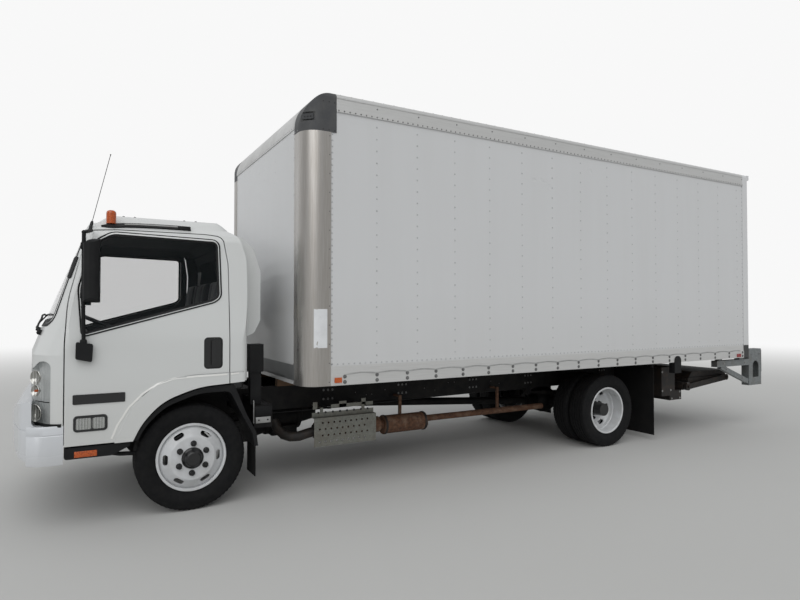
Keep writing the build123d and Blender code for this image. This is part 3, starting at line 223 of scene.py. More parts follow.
def moulded_plastic(name, colour, dust, grain_mm=2.0, roughness=0.55, dusting=0.35):
    # injection moulded plastic: fine leather-like grain, with dust in its hollows
    return mottled(name, roughness, 0.0, (colour, dust), (120, 0.4, 0.8, dusting),
                   (grain_mm, 2.0, 0.25, 0.4), Specular_IOR_Level=0.28)


def plain_sheet(name, colour, wear, roughness, metallic=0.0, size_mm=60):
    # small flat things: printed vinyl, plated heads and strips, each a little worn
    return mottled(name, roughness, metallic, (colour, wear), (size_mm, 0.3, 0.85, 0.6))


def wheel_steel():
    # white enamel on a steel disc wheel; the hub, drum and nuts inside it are black
    made, place = surface("white wheel enamel", 0.4, Coat_Weight=0.3)
    x, y, z = axes(place)
    at_front = y.maths("LESS_THAN", 0.0)
    run, face = [add(place.tree, "ShaderNodeMix", {0: at_front, 2: rear, 3: front}, data_type="FLOAT")
                 for rear, front in ((y - REAR_AXLE_Y, y - FRONT_AXLE_Y), (REAR_FACE_X, FRONT_FACE_X))]
    rise = z - AXLE_Z
    radius = (rise * rise + run * run).maths("SQRT")
    across = x.maths("ABSOLUTE")
    hub = radius.maths("LESS_THAN", HUB_RADIUS)
    nuts = across.maths("GREATER_THAN", face) * radius.maths("LESS_THAN", NUT_CIRCLE_OUT)
    drum = across.maths("LESS_THAN", face - DRUM_BACK) * radius.maths("LESS_THAN", DRUM_RADIUS)
    dark = hub.maths("MAXIMUM", nuts).maths("MAXIMUM", drum)
    white = blend(patches(place, 90, 0.3, 0.85) * 0.35, "CDCFD1", "8B8881")
    return finish(made, blend(dark, white, HUB_BLACK))


def zinc_coating(name, light, dark):
    # hot-dip galvanised steel: spangles about 15 mm wide in slightly different greys
    made, place = surface(name, 0.48, 0.55)
    cells = add(place.tree, "ShaderNodeTexVoronoi", {"Vector": place, "Scale": 1000 / 15}, "Color")
    tone = add(place.tree, "ShaderNodeSeparateColor", {"Color": cells})
    grey = blend(tone * 0.6, light, dark)
    return finish(made, blend(patches(place, 110, 0.45, 0.8) * 0.5, grey, "6E655A"))


def rusty_steel():
    # bare exhaust steel: scaly brown rust with darker burnt patches
    made, place = surface("rusted exhaust steel", 0.82, 0.15)
    scale = patches(place, 25, 0.3, 0.75)
    brown = blend(scale, "6A4A35", "3F2C22")
    light = patches(place, 90, 0.5, 0.8) * 0.6
    return finish(made, blend(light, brown, "8E7A68"), bump=(scale, 1.0, 0.6))


def lens_cells(place):
    # the fine pattern moulded behind the face of a coloured lens, about 6 mm wide
    return add(place.tree, "ShaderNodeTexVoronoi", {"Vector": place, "Scale": 1000 / 6}, "Distance")


def body_lamps():
    # amber lamps in front and on the cab roof, red ones at the tail; in the caps, where the lamps are gone,
    # dark grey as painted shade in the empty pockets
    made, place = surface("moulded marker lamps", 0.18, IOR=1.49, Coat_Weight=0.6)
    cells = lens_cells(place)
    grain = cells * 1.2
    at_tail = above(place, 1, 0.0, 0.01)
    lamps = blend(at_tail, blend(grain, "E0661A", "9A420E"), blend(grain, "B01216", "640A0C"))
    # dark grey over the lamps in the caps: painted shade of the empty lamp pockets
    empty_pocket_shade = axes(place)[2].maths("GREATER_THAN", 2.9) * (1.0 - at_tail)
    return finish(made, blend(empty_pocket_shade, lamps, "3A3B3D"), bump=(cells, 0.5, 0.4))


def coloured_lens(name, colour, deep):
    # moulded acrylic lamp lens, coloured through
    made, place = surface(name, 0.18, IOR=1.49, Coat_Weight=0.6)
    cells = lens_cells(place)
    return finish(made, blend(cells * 1.2, colour, deep), bump=(cells, 0.5, 0.4))


def lamp_mirror():
    # vacuum-metallised reflector with fine upright flutes, 9 mm apart, that break up the light
    made, place = surface("metallised reflector", 0.16, 0.95)
    flutes = add(place.tree, "ShaderNodeTexWave",
                 {"Vector": place, "Scale": 1000 / 9 / 6.283, "Distortion": 0.3}, 1, bands_direction="Y")
    return finish(made, blend(flutes, "C6C6C2", "9C9B96"), bump=(flutes, 1.5, 0.5))


def cab_cloth():
    # headliner and door cards: dark grey felted cloth over board
    made, place = surface("cab lining felt", 0.9)
    nap = patches(place, 4, 0.3, 0.7, detail=2.0)
    return finish(made, blend(nap * 0.5, "1E1F22", "34353A"), bump=(nap, 0.4, 0.3))


def hardwood_deck():
    # oiled hardwood boards, about 120 mm wide, running along the body
    made, place = surface("hardwood deck boards", 0.6)
    boards = add(place.tree, "ShaderNodeTexWave",
                 {"Vector": place, "Scale": 1000 / 120 / 6.283 * 3.1416, "Distortion": 0.0}, 1,
                 bands_direction="X")
    figure = patches(place, 20, 0.3, 0.7, stretch=(1, 0.06, 1))
    return finish(made, blend(figure * 0.7 + boards * 0.2, "7A5B3B", "4F3A27"))


def woven_cloth():
    # dark seat cloth: a plain weave drawn coarser than its 1 mm threads so that it shows
    made, place = surface("woven seat cloth", 0.92, Sheen_Weight=0.3)
    weave = add(place.tree, "ShaderNodeTexChecker", {"Vector": place, "Scale": 1000 / 4}, 1)
    mask = weave * 0.35 + patches(place, 90, 0.3, 0.8) * 0.3
    return finish(made, blend(mask, "2B2C30", "45464A"), bump=(weave, 0.5, 0.5))


# knocks in the left wall: place along the truck, height, half length, half height
DENTS = [(0.22, 2.86, 0.14, 0.022), (0.34, 2.81, 0.022, 0.06), (0.93, 3.03, 0.05, 0.03)]
# dark parts let into each door: its handle, the frame of its turn lamps and its blank strip
DOOR_AREAS = [
    (0.1375, 1.208, 0.0705, 0.121, 0.031),
    (-0.6945, 0.7475, 0.1065, 0.0565, 0.026),
    (-0.641, 0.916, 0.165, 0.034, 0.008),
]
cab_white = painted_steel("white cab paint", "D2D4D3", "98948B", 1.1)
door_white = painted_steel("white door paint", "D2D4D3", "98948B", 1.1, plastic_areas=DOOR_AREAS)
# whiter paint for the strips along the pressed lines over the wheel arches: a painted highlight
crease_highlight_white = painted_steel("painted crease highlight white", "EDEDEA", "B5B2AA", 1.1, 0.2)
bumper_white = painted_steel("white bumper paint", "D0D3D7", "96928A", 0.7, 0.22)
frame_white = painted_steel("white frame paint", "D4D5D6", "8F8C86", 1.4, dark_below=1.085)
panel_white = panel_skin("body panel skin", 0.36)
side_white = panel_skin("side wall skin", 0.36, DENTS)
wall_gloss = panel_skin("glossy front wall skin", 0.13)
rail_metal = rolled_aluminium("mill finish rail", "D7D7D6", "B9B9B7", 0.42, (1, 0.04, 1), 0.45)
post_metal = rolled_aluminium("bright corner aluminium", "C9C7C4", "8E857B", 0.22)
roof_metal = rolled_aluminium("white roof sheet", "D6D8DA", "A9AAA8", 0.5, (1, 0.04, 1))
cap_plastic = moulded_plastic("grey corner casting", "4A4B4D", "6F6E6A", 3.0, 0.5)
black_plastic = moulded_plastic("black moulded plastic", "0E0F11", "2A2A29")
trim_plastic = moulded_plastic("grey cab trim plastic", "2C2D30", "47474A", 1.5, 0.6, 0.2)
flap_rubber = moulded_plastic("black flap rubber", "0C0C0D", "24221F", 6.0, 0.8)
rubber_black = moulded_plastic("black window rubber", "101112", "2A2A29", 3.0, 0.6, 0.25)
# black tyre rubber, greyed by road dust that is strongest on the tread
tyre_black = mottled("tyre rubber", 0.8, 0.0, ("0D0E10", "242322"), (45, 0.3, 0.8, 0.5),
                     (3, 4.0, 0.3, 0.4), Specular_IOR_Level=0.22)
wheel_white = wheel_steel()
# satin black chassis paint with dry grey road dust lying on it
chassis_black = mottled("satin chassis paint", 0.6, 0.0, ("0C0C0E", "2C2A26"), (90, 0.35, 0.8, 0.55),
                        (14, 4.0, 0.6, 0.4), Specular_IOR_Level=0.22)
# brown-black paint on the liftgate, rubbed to rust on its edges and steps
lift_black = mottled("worn liftgate paint", 0.62, 0.0, ("1D1A18", "4A3A2E"), (70, 0.45, 0.85, 0.6),
                     (10, 4.0, 0.6, 0.4))
zinc = zinc_coating("galvanised guard", "85867F", "6B6C66")
step_zinc = zinc_coating("galvanised step steel", "8D9192", "6E7274")
rust = rusty_steel()
# toughened glass with a light grey tint; it mirrors the light backdrop at its edges
glass = mottled("tinted window glass", 0.03, 0.0, ("10181A", "3A4444"), (300, 0.3, 0.8, 0.15),
                IOR=1.5, Alpha=0.14)
# clear moulded polycarbonate lamp lens, slightly hazed by years outdoors
lens_clear = mottled("clear lamp lens", 0.08, 0.0, ("C9CFD1", "A7A79E"), (80, 0.3, 0.8, 0.4),
                     IOR=1.58, Alpha=0.22)
for see_through in (glass, lens_clear):
    see_through.surface_render_method = "BLENDED"
lens_amber = coloured_lens("amber lens", "D9641A", "8F3A0C")
marker_lamps = body_lamps()
lamp_reflector = lamp_mirror()
# rivet heads a little darker than the white panels under them: painted shade, so that they read as bumps
shaded_panel_rivet = plain_sheet("rivet heads with painted shade", "C0C2C3", "8B8D8D", 0.35, 0.2)
fastener_metal = plain_sheet("plated fasteners", "B4B5B4", "7E7C78", 0.38, 0.8)
dull_fastener = plain_sheet("weathered bolts", "7F8080", "4E4C49", 0.5, 0.6)
trim_metal = plain_sheet("dull trim metal", "8B8D8E", "6C6D6C", 0.45, 0.7, 300)
dark_fastener = plain_sheet("blackened fasteners", "1C1D1F", "3A3937", 0.45, 0.3)
white_label = plain_sheet("blank white vinyl", "E4E6E8", "C9CBCD", 0.4)
yellow_tag = plain_sheet("blank yellow vinyl", "C9A21C", "9C8128", 0.45)
mirror_silver = plain_sheet("silvered mirror glass", "D0D4D6", "B9BDBF", 0.04, 1.0)
cab_trim = cab_cloth()
deck_wood = hardwood_deck()
seat_cloth = woven_cloth()

FINISHES = [
    (chassis_black, "chassis_rails cross_members leaf_springs front_axle rear_axle engine_block"),
    (chassis_black, "chassis_boxes left_knuckle right_knuckle"),
    (cab_white, "cab_shell"),
    (door_white, "left_door right_door"),
    (bumper_white, "front_bumper"),
    (glass, "cab_glass left_door_glass right_door_glass"),
    (lens_clear, "headlamps"),
    (black_plastic, "front_grille left_mirror right_mirror front_wings door_steps air_intake"),
    (trim_plastic, "dashboard"),
    (seat_cloth, "cab_seats"),
    (flap_rubber, "mud_flaps step_rubbers"),
    (tyre_black, "left_front_tyre right_front_tyre left_rear_tyres right_rear_tyres"),
    (wheel_white, "left_front_wheel right_front_wheel left_rear_wheels right_rear_wheels"),
    (wall_gloss, "front_wall"),
    (side_white, "side_walls"),
    (panel_white, "roll_up_door"),
    (roof_metal, "body_roof"),
    (rail_metal, "body_rails"),
    (post_metal, "corner_posts"),
    (cap_plastic, "corner_caps"),
    (deck_wood, "body_floor"),
    (frame_white, "rear_frame"),
    (rust, "exhaust"),
    (zinc, "heat_shield"),
    (step_zinc, "step_blocks"),
    (lift_black, "liftgate_frame liftgate_arms liftgate_platform"),
    (marker_lamps, "side_lamps"),
]
for material, node_names in FINISHES:
    for node_name in node_names.split():
        for material_slot in bpy.data.objects[node_name].material_slots:
            material_slot.material = material


# Small pieces: each of these draws into a mesh that finish_piece then shows
def show(name, form, material, body):
    mesh = bpy.data.meshes.new(name)
    form.to_mesh(mesh)
    form.free()
    mesh.materials.clear()
    mesh.materials.append(material)
    piece = bpy.data.objects.new(name, mesh)
    bpy.context.scene.collection.objects.link(piece)
    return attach(piece, body)


def finish_piece(name, form, material, body="truck", crease_deg=35):
    bmesh.ops.recalc_face_normals(form, faces=form.faces)
    piece = show(name, form, material, body)
    piece.data.shade_smooth()
    piece.data.set_sharp_from_angle(angle=math.radians(crease_deg))
    return piece


def drawn(name, material, *strokes, body="truck"):
    # a piece drawn in strokes, each a drawing function and what it is given
    form = bmesh.new()
    for draw, *given in strokes:
        draw(form, *given)
    return finish_piece(name, form, material, body)


def brick(form, low, high, edge_mm=0.0):
    # a box between two corners, with its edges rounded off
    size = Vector(abs(b - a) for a, b in zip(low, high))
    made = bmesh.ops.create_cube(form, size=1.0)["verts"]
    bmesh.ops.scale(form, vec=size, verts=made)
    bmesh.ops.translate(form, vec=(Vector(low) + Vector(high)) / 2, verts=made)
    if edge_mm:
        edges = list({edge for corner in made for edge in corner.link_edges})
        bmesh.ops.bevel(form, geom=edges, offset=edge_mm / 1000, segments=2, profile=0.5, affect="EDGES")


def ring(form, spot, across, upward, radius, sides):
    turns = [2 * math.pi * k / sides for k in range(sides)]
    return [form.verts.new(spot + across * (radius * math.cos(t)) + upward * (radius * math.sin(t)))
            for t in turns]


def join_rings(form, first, second):
    for k, here in enumerate(first):
        after = (k + 1) % len(first)
        form.faces.new((here, first[after], second[after], second[k]))


def stack(form, rings):
    # rings joined one after another, with both ends closed
    form.faces.new(rings[0])
    for first, second in zip(rings, rings[1:]):
        join_rings(form, first, second)
    form.faces.new(rings[-1])


def lathe(form, spot, facing, profile, sides=12):
    # a turned shape: (distance out along its axis, radius) rings from a place on the model
    axis = Vector(facing).normalized()
    across = axis.orthogonal().normalized()
    upward = axis.cross(across)
    stack(form, [ring(form, Vector(spot) + axis * out, across, upward, radius, sides)
                 for out, radius in profile])


def rivet(form, spot, facing, radius=0.0045, high=0.0022, sides=8):
    # a low round head, its foot just under the skin
    lathe(form, spot, facing, [(-0.0008, radius), (high * 0.6, radius * 0.8), (high, radius * 0.3)], sides)


def bolt(form, spot, facing, radius=0.009, high=0.007):
    # a hexagon head on a round washer
    lathe(form, spot, facing, [(-0.001, radius * 1.6), (0.0015, radius * 1.6)], 12)
    lathe(form, spot, facing, [(0.001, radius), (high, radius), (high + 0.0008, radius * 0.8)], 6)


def tube(form, points, radius, sides=8):
    # a round rod through the points, closed at both ends
    points = [Vector(p) for p in points]
    across = None
    rings = []
    for k, here in enumerate(points):
        ahead = (points[min(k + 1, len(points) - 1)] - points[max(k - 1, 0)]).normalized()
        if across is None:
            across = ahead.orthogonal().normalized()
        across = (across - ahead * across.dot(ahead)).normalized()
        rings.append(ring(form, here, across, ahead.cross(across), radius, sides))
    stack(form, rings)


def rounded(corners, step=0.02, arc=5):
    # a closed outline of (u, v, radius) corners as even points, its corners turned by arcs
    marks = []
    for k, (u, v, radius) in enumerate(corners):
        here = Vector((u, v))
        if radius == 0:
            marks.append(here)
            continue
        before = (Vector(corners[k - 1][:2]) - here).normalized()
        after = (Vector(corners[(k + 1) % len(corners)][:2]) - here).normalized()
        half = before.angle(after) / 2
        middle = here + (before + after).normalized() * (radius / math.sin(half))
        cut = radius / math.tan(half)
        start = (here + before * cut - middle).normalized()
        end = (here + after * cut - middle).normalized()
        marks += [middle + start.slerp(end, j / arc) * radius for j in range(arc + 1)]
    even = []
    for here, ahead in zip(marks, marks[1:] + marks[:1]):
        pieces = max(1, round((ahead - here).length / step))
        even += [here.lerp(ahead, j / pieces) for j in range(pieces)]
    return even


def grid(firsts, seconds):
    return [(first, second) for first in firsts for second in seconds]


def box_corners(u0, u1, v0, v1, radius):
    return [(u0, v0, radius), (u1, v0, radius), (u1, v1, radius), (u0, v1, radius)]


def spread(start, end, pitch):
    # even places from a start to an end, about a pitch apart
    count = max(1, round((end - start) / pitch))
    return [start + (end - start) * k / count for k in range(count + 1)]


def at(x, y, z):
    # a place whose second number is measured back from the front axle
    return (x, FRONT_AXLE_Y + y, z)


def side_line(places):
    # places on a side, each (y from the front axle, z)
    return [Vector((FRONT_AXLE_Y + y, z)) for y, z in places]


def skin_of(*names):
    # the faces of the named pieces, for setting small pieces on them
    faces = bmesh.new()
    for name in names:
        faces.from_mesh(bpy.data.objects[name].data)
    found = BVHTree.FromBMesh(faces)
    faces.free()
    return found


def meet(skin, start, way):
    # where a look from the start meets the skin, and the way it faces there
    spot, facing, index, far = skin.ray_cast(Vector(start), Vector(way))
    return (spot, facing) if spot else (None, None)


def on_side(skin, side):
    # looks at a skin from one side, the front, the back or the top, by the two other numbers
    return lambda y, z: meet(skin, (side * 2.0, y, z), (-side, 0, 0))


def on_front(skin):
    return lambda x, z: meet(skin, (x, -6.0, z), (0, 1, 0))


def on_back(skin):
    return lambda x, z: meet(skin, (x, 6.0, z), (0, -1, 0))


def on_top(skin):
    return lambda x, y: meet(skin, (x, y, 5.0), (0, 0, -1))


def fasten(form, head, size, look, places):
    # a head of the given size at each place where the look meets the skin
    for u, v in places:
        spot, facing = look(u, v)
        if spot:
            head(form, spot, facing, *size)


def strip_on(form, look, path, wide, proud, closed=False):
    # a strip lying on the skin along a path, its two edges each set down on what is under it
    rungs = []
    count = len(path)
    for k, here in enumerate(path):
        ahead = path[(k + 1) % count] if closed or k < count - 1 else here
        before = path[k - 1] if closed or k else here
        run = (ahead - before).normalized()
        across = Vector((-run.y, run.x)) * (wide / 2)
        first, second = look(*(here + across)), look(*(here - across))
        if first[0] and second[0]:
            rungs.append([form.verts.new(spot + facing * lift) for (spot, facing), lift in (
                (first, -0.002), (first, proud), (second, proud), (second, -0.002))])
    if closed:
        for k, rung in enumerate(rungs):
            join_rings(form, rung, rungs[(k + 1) % len(rungs)])
    else:
        stack(form, rungs)


def plate_on(form, look, outline, proud):
    # a thin plate with the given outline, lying on the skin
    middle = sum(outline, Vector((0, 0))) / len(outline)
    loops = []
    for share, lift in ((1.0, -0.002), (1.0, proud * 0.7), (0.94, proud), (0.5, proud)):
        met = [look(*middle.lerp(point, share)) for point in outline]
        loops.append([form.verts.new(spot + facing * lift) for spot, facing in met])
    for first, second in zip(loops, loops[1:]):
        join_rings(form, first, second)
    spot, facing = look(*middle)
    peak = form.verts.new(spot + facing * proud)
    last = loops[-1]
    for k, here in enumerate(last):
        form.faces.new((here, last[(k + 1) % len(last)], peak))


# Rivets, bolts and labels on the van body
POST_PITCH = 0.4064
POST_COUNT = 14
EDGE_PITCH = 0.0508
POST_RIVET_PITCH = 0.1016
CORNER_RIVET_PITCH = 0.1524
PANEL_RIVET = (0.0085, 0.004)
TOP_RIVET = (0.0075, 0.004)
POST_RIVET = (0.0055, 0.003)
RAIL_BOLT = (0.0105, 0.006)
SMALL_RIVET = (0.005, 0.003)
LIP_Z = 1.006
LIP_BOW = 0.010
LIP_STEPS = 6
LIP_STRIP = (0.010, 0.003)
PANEL_LOW_Z = 1.095
PANEL_TOP_Z = 3.168
CAP_LOW_Z = 2.99
ROW_OVER_PANEL_Z = 3.191
ROW_ON_RAIL_Z = 3.262
POST_SPAN_Z = (0.95, 2.97)
BOLT_ROWS_Z = (0.945, 0.990)
PANEL_FRONT_Y = BODY_FRONT_Y + 0.246
PANEL_REAR_Y = BODY_REAR_Y - 0.118
BOLT_PITCH = 0.2985
FRONT_POSTS_X = (-0.943, -0.445, -0.085, 0.085, 0.445, 0.943)
FRONT_TOP_Z = 3.072
FRONT_CAP_Z = 3.02
FRONT_POST_X = 0.992
ROOF_EDGE_X = 1.188
CAP_ROWS_Z = (3.018, 3.250)
CORNER_RADIUS = 0.152
CAP_LAMP_Z = 3.117
CAP_LAMP_OUT = 0.1488


def body_rivets():
    skin = skin_of("side_walls", "body_rails", "rear_frame", "corner_posts")
    posts = [BODY_FRONT_Y + 0.252 + k * POST_PITCH for k in range(1, POST_COUNT + 1)]
    panel = grid(posts, spread(PANEL_LOW_Z + 0.06, PANEL_TOP_Z - 0.06, POST_RIVET_PITCH))
    panel += grid([PANEL_FRONT_Y], spread(PANEL_LOW_Z, CAP_LOW_Z, EDGE_PITCH))
    panel += grid([PANEL_REAR_Y], spread(PANEL_LOW_Z, PANEL_TOP_Z, EDGE_PITCH))
    panel += grid(spread(PANEL_FRONT_Y, PANEL_REAR_Y, EDGE_PITCH), [PANEL_LOW_Z])
    top = grid(spread(BODY_FRONT_Y + 0.30, PANEL_REAR_Y, EDGE_PITCH), [ROW_OVER_PANEL_Z])
    top += grid(spread(BODY_FRONT_Y + 0.66, PANEL_REAR_Y, POST_PITCH), [ROW_ON_RAIL_Z])
    corner = grid([BODY_FRONT_Y + 0.222], spread(*POST_SPAN_Z, CORNER_RIVET_PITCH))
    bolt_places = spread(BODY_FRONT_Y + 0.36, PANEL_REAR_Y - 0.02, BOLT_PITCH)
    bolts = grid(bolt_places, BOLT_ROWS_Z)
    # the lip over the lower rail rises a little between one pair of bolts and the next
    shares = [k / LIP_STEPS for k in range(LIP_STEPS)]
    lip = [Vector((here + (ahead - here) * share, LIP_Z + LIP_BOW * math.sin(math.pi * share)))
           for here, ahead in zip(bolt_places, bolt_places[1:]) for share in shares]
    for side in SIDES:
        look = on_side(skin, side)
        drawn(WORDS[side] + "_panel_rivets", shaded_panel_rivet, (fasten, rivet, PANEL_RIVET, look, panel))
        drawn(WORDS[side] + "_rail_fasteners", dull_fastener,
              (fasten, rivet, TOP_RIVET, look, top),
              (fasten, rivet, POST_RIVET, look, corner),
              (fasten, bolt, RAIL_BOLT, look, bolts))
        drawn(WORDS[side] + "_rail_lip", fastener_metal, (strip_on, look, lip, *LIP_STRIP))


def front_rivets():
    look = on_front(skin_of("front_wall", "body_rails", "corner_posts", "corner_caps"))
    wall = grid(FRONT_POSTS_X, spread(1.12, 3.0, POST_RIVET_PITCH))
    drawn("front_wall_rivets", shaded_panel_rivet, (fasten, rivet, (), look, wall))
    rail = grid(spread(-0.96, 0.96, EDGE_PITCH), [FRONT_TOP_Z])
    for side in SIDES:
        rail += grid([side * FRONT_POST_X], spread(*POST_SPAN_Z, CORNER_RIVET_PITCH))
        rail += [(side * x, FRONT_CAP_Z) for x in spread(0.945, 1.06, 0.06)]
    drawn("front_rail_rivets", fastener_metal, (fasten, rivet, SMALL_RIVET, look, rail))
    plate = rounded(box_corners(-1.0, 1.0, 0.954, 1.082, 0.004), 0.1)
    drawn("front_lower_plate", trim_metal, (plate_on, look, plate, 0.004))


def roof_seams():
    look = on_top(skin_of("body_roof", "body_rails", "corner_caps", "rear_frame"))
    edges = [side * ROOF_EDGE_X for side in SIDES]
    seams = grid(edges, spread(BODY_FRONT_Y + 0.33, BODY_REAR_Y - 0.13, EDGE_PITCH * 2))
    seams += grid(spread(-1.1, 1.1, EDGE_PITCH * 2), (BODY_FRONT_Y + 0.265, BODY_REAR_Y - 0.085))
    drawn("roof_rivets", fastener_metal, (fasten, rivet, (*SMALL_RIVET, 6), look, seams))


def corner_details():
    # blank label on the left post, rivets round the caps, and in each cap's empty lamp pocket three dark
    # bosses painted as the shade in its holes
    skin = skin_of("corner_posts", "corner_caps", "side_walls")
    label = rounded(box_corners(FRONT_AXLE_Y + 0.884, FRONT_AXLE_Y + 0.996, 1.231, 1.547, 0.004), 0.03)
    drawn("blank_post_label", white_label, (plate_on, on_side(skin, TRUCK_LEFT), label, 0.0012))
    round_cap = [(y, z) for z in CAP_ROWS_Z
                 for y in spread(BODY_FRONT_Y + 0.165, BODY_FRONT_Y + 0.265, 0.05)]
    strokes = []
    for side in SIDES:
        strokes.append((fasten, rivet, SMALL_RIVET, on_side(skin, side), round_cap))
        middle = Vector((side * (BODY_HALF - CORNER_RADIUS), BODY_FRONT_Y + CORNER_RADIUS, CAP_LAMP_Z))
        away = Vector((side, -1, 0)).normalized()
        along = Vector((side, 1, 0)).normalized()
        # three dark bosses where the empty lamp pocket has holes: painted shade
        for shift in (-0.026, 0.0, 0.026):
            strokes.append((lathe, middle + away * CAP_LAMP_OUT + along * shift, away,
                            [(-0.001, 0.005), (0.003, 0.005), (0.004, 0.003)], 10))
    drawn("cap_rivets_and_hole_shade", dark_fastener, *strokes)


body_rivets()
front_rivets()
roof_seams()
corner_details()


# Crowned roof skin of the cab: the photo shows the roof fuller than the plain shell
CROWN_HALF_X = 0.790
CROWN_FRONT_Y = FRONT_AXLE_Y - 0.70
CROWN_REAR_Y = FRONT_AXLE_Y + 0.50
CROWN_RISE = 0.046
# how far from its sides, its front and its rear the crown takes to rise
CROWN_EASE = (0.12, 0.14, 0.28)
CROWN_STEPS = 40
ROOF_LOW_Z = 2.06


def eased(share):
    share = min(max(share, 0.0), 1.0)
    return share * share * (3 - 2 * share)


def roof_crown():
    look = on_top(skin_of("cab_shell", "cab_glass"))
    ease_side, ease_front, ease_rear = CROWN_EASE
    form = bmesh.new()
    rows = []
    for j in range(CROWN_STEPS + 1):
        y = CROWN_FRONT_Y + (CROWN_REAR_Y - CROWN_FRONT_Y) * j / CROWN_STEPS
        row = []
        for i in range(CROWN_STEPS + 1):
            x = CROWN_HALF_X * (2 * i / CROWN_STEPS - 1)
            spot, facing = look(x, y)
            rise = CROWN_RISE * eased((CROWN_HALF_X - abs(x)) / ease_side)
            rise *= eased((y - CROWN_FRONT_Y) / ease_front) * eased((CROWN_REAR_Y - y) / ease_rear)
            on_roof = spot and spot.z > ROOF_LOW_Z
            row.append(form.verts.new((x, y, spot.z - 0.0008 + rise)) if on_roof else None)
        rows.append(row)
    for low_row, high_row in zip(rows, rows[1:]):
        for i in range(CROWN_STEPS):
            corners = (low_row[i], low_row[i + 1], high_row[i + 1], high_row[i])
            if all(corners):
                form.faces.new(corners)
    finish_piece("cab_roof_crown", form, cab_white, crease_deg=60)


roof_crown()


# The cab's rubber, lamps, mirrors, wipers and lining; places on a side are from the front axle,
# and each strip is given its width and how far it stands proud
WINDOW_STRIP = (0.034, 0.003)
SCREEN_STRIP = (0.05, 0.004)
GUTTER_STRIP = (0.034, 0.012)
INSERT_STRIP = (0.010, 0.016)
UNDER_LAMP_STRIP = (0.022, 0.008)
LAMP_SPLIT_STRIP = (0.006, 0.001)
# the arch strip is the whiter strip painted as the highlight along each arch line
ARCH_HIGHLIGHT_STRIP = (0.013, 0.0022)
WINDOW_EDGE = [
    (-0.745, 1.364, 0.02), (0.140, 1.606, 0.09), (0.192, 1.640, 0.06), (0.186, 2.078, 0.045),
    (-0.560, 2.096, 0.12), (-0.672, 2.030, 0.12), (-0.768, 1.690, 0.2),
]
SCREEN_EDGE = [
    (-0.862, 1.448, 0.06), (0.0, 1.434, 2.5), (0.862, 1.448, 0.06),
    (0.792, 2.112, 0.08), (0.0, 2.126, 2.5), (-0.792, 2.112, 0.08),
]
DRIP_LINE = [(-0.63, 2.135), (-0.56, 2.158), (-0.476, 2.170), (-0.38, 2.176), (-0.28, 2.179),
             (-0.18, 2.180), (-0.096, 2.180), (-0.003, 2.178)]
INSERT_SPAN = (FRONT_AXLE_Y - 0.48, FRONT_AXLE_Y - 0.09)
PAD_ENDS = [(-0.834, 1.765), (-0.786, 1.925)]
LINING_LOW_Z = 0.88
LINING_FACING = 0.35
LINING_IN = 0.0015
CAB_HEART = Vector((0.0, FRONT_AXLE_Y - 0.25, 1.55))
LAMP_PLACE = (0.935, -1.022)
HEADLAMP_BOWLS = [(1.075, 0.052), (0.985, 0.040), (0.835, 0.060)]
BULB_Z = 0.985
CORNER_LOOP = [(0.275, 0.978), (0.280, 0.930), (0.296, 0.917), (0.352, 0.917), (0.370, 0.930),
               (0.377, 0.978)]
MIRROR_X = 1.105


def from_axle(corners):
    return [(FRONT_AXLE_Y + y, z, radius) for y, z, radius in corners]


def window_rubber():
    edge = rounded(from_axle(WINDOW_EDGE), 0.03)
    for side in SIDES:
        word = WORDS[side]
        look = on_side(skin_of(word + "_door", word + "_door_glass"), side)
        drawn(word + "_window_rubber", rubber_black, (strip_on, look, edge, *WINDOW_STRIP, True),
              body=word + "_door_body")
    look = on_front(skin_of("cab_shell", "cab_glass"))
    edge = rounded(SCREEN_EDGE, 0.03)
    drawn("windscreen_rubber", rubber_black, (strip_on, look, edge, *SCREEN_STRIP, True))


def drip_rails():
    # gutter along each side of the roof: rubber with a light metal insert between black ends
    skin = skin_of("cab_shell", "left_door", "right_door")
    line = side_line(DRIP_LINE)
    inner = [p for p in line if INSERT_SPAN[0] < p.x < INSERT_SPAN[1]]
    rubber = []
    insert = []
    for side in SIDES:
        look = on_side(skin, side)
        spot, facing = look(FRONT_AXLE_Y - 0.05, 2.172)
        rubber += [(strip_on, look, line, *GUTTER_STRIP),
                   (brick, spot - Vector((0.02, 0.047, 0.022)), spot + Vector((0.02, 0.047, 0.026)), 6)]
        insert.append((strip_on, look, inner, *INSERT_STRIP))
    drawn("drip_rails", rubber_black, *rubber)
    drawn("drip_rail_inserts", fastener_metal, *insert)


def pillar_pads():
    # dark grip pad set in the windscreen pillar, in front of each door
    skin = skin_of("cab_shell", "cab_glass", "left_door", "right_door")
    foot, head = side_line(PAD_ENDS)
    half = (head - foot).length / 2
    along = (head - foot).normalized()
    across = Vector((-along.y, along.x))
    shape = rounded(box_corners(-half, half, -0.012, 0.012, 0.011), 0.03)
    outline = [(foot + head) / 2 + along * p.x + across * p.y for p in shape]
    drawn("pillar_pads", rubber_black, *[(plate_on, on_side(skin, side), outline, 0.007) for side in SIDES])


def turn_lamps():
    # two clear lenses side by side in each door's dark frame, over a fluted reflector
    lenses = [rounded(from_axle(box_corners(start, end, 0.709, 0.786, 0.010)), 0.02)
              for start, end in ((-0.784, -0.690), (-0.682, -0.606))]
    for side in SIDES:
        word = WORDS[side]
        look = on_side(skin_of(word + "_door"), side)
        bulb = (lathe, *look(FRONT_AXLE_Y - 0.644, 0.748),
                [(0.0, 0.014), (0.006, 0.012), (0.0075, 0.004)], 14)
        drawn(word + "_turn_lamp_reflector", lamp_reflector,
              *[(plate_on, look, lens, 0.002) for lens in lenses], bulb, body=word + "_door_body")
        drawn(word + "_turn_lamp_lens", lens_clear,
              *[(plate_on, look, lens, 0.009) for lens in lenses], body=word + "_door_body")


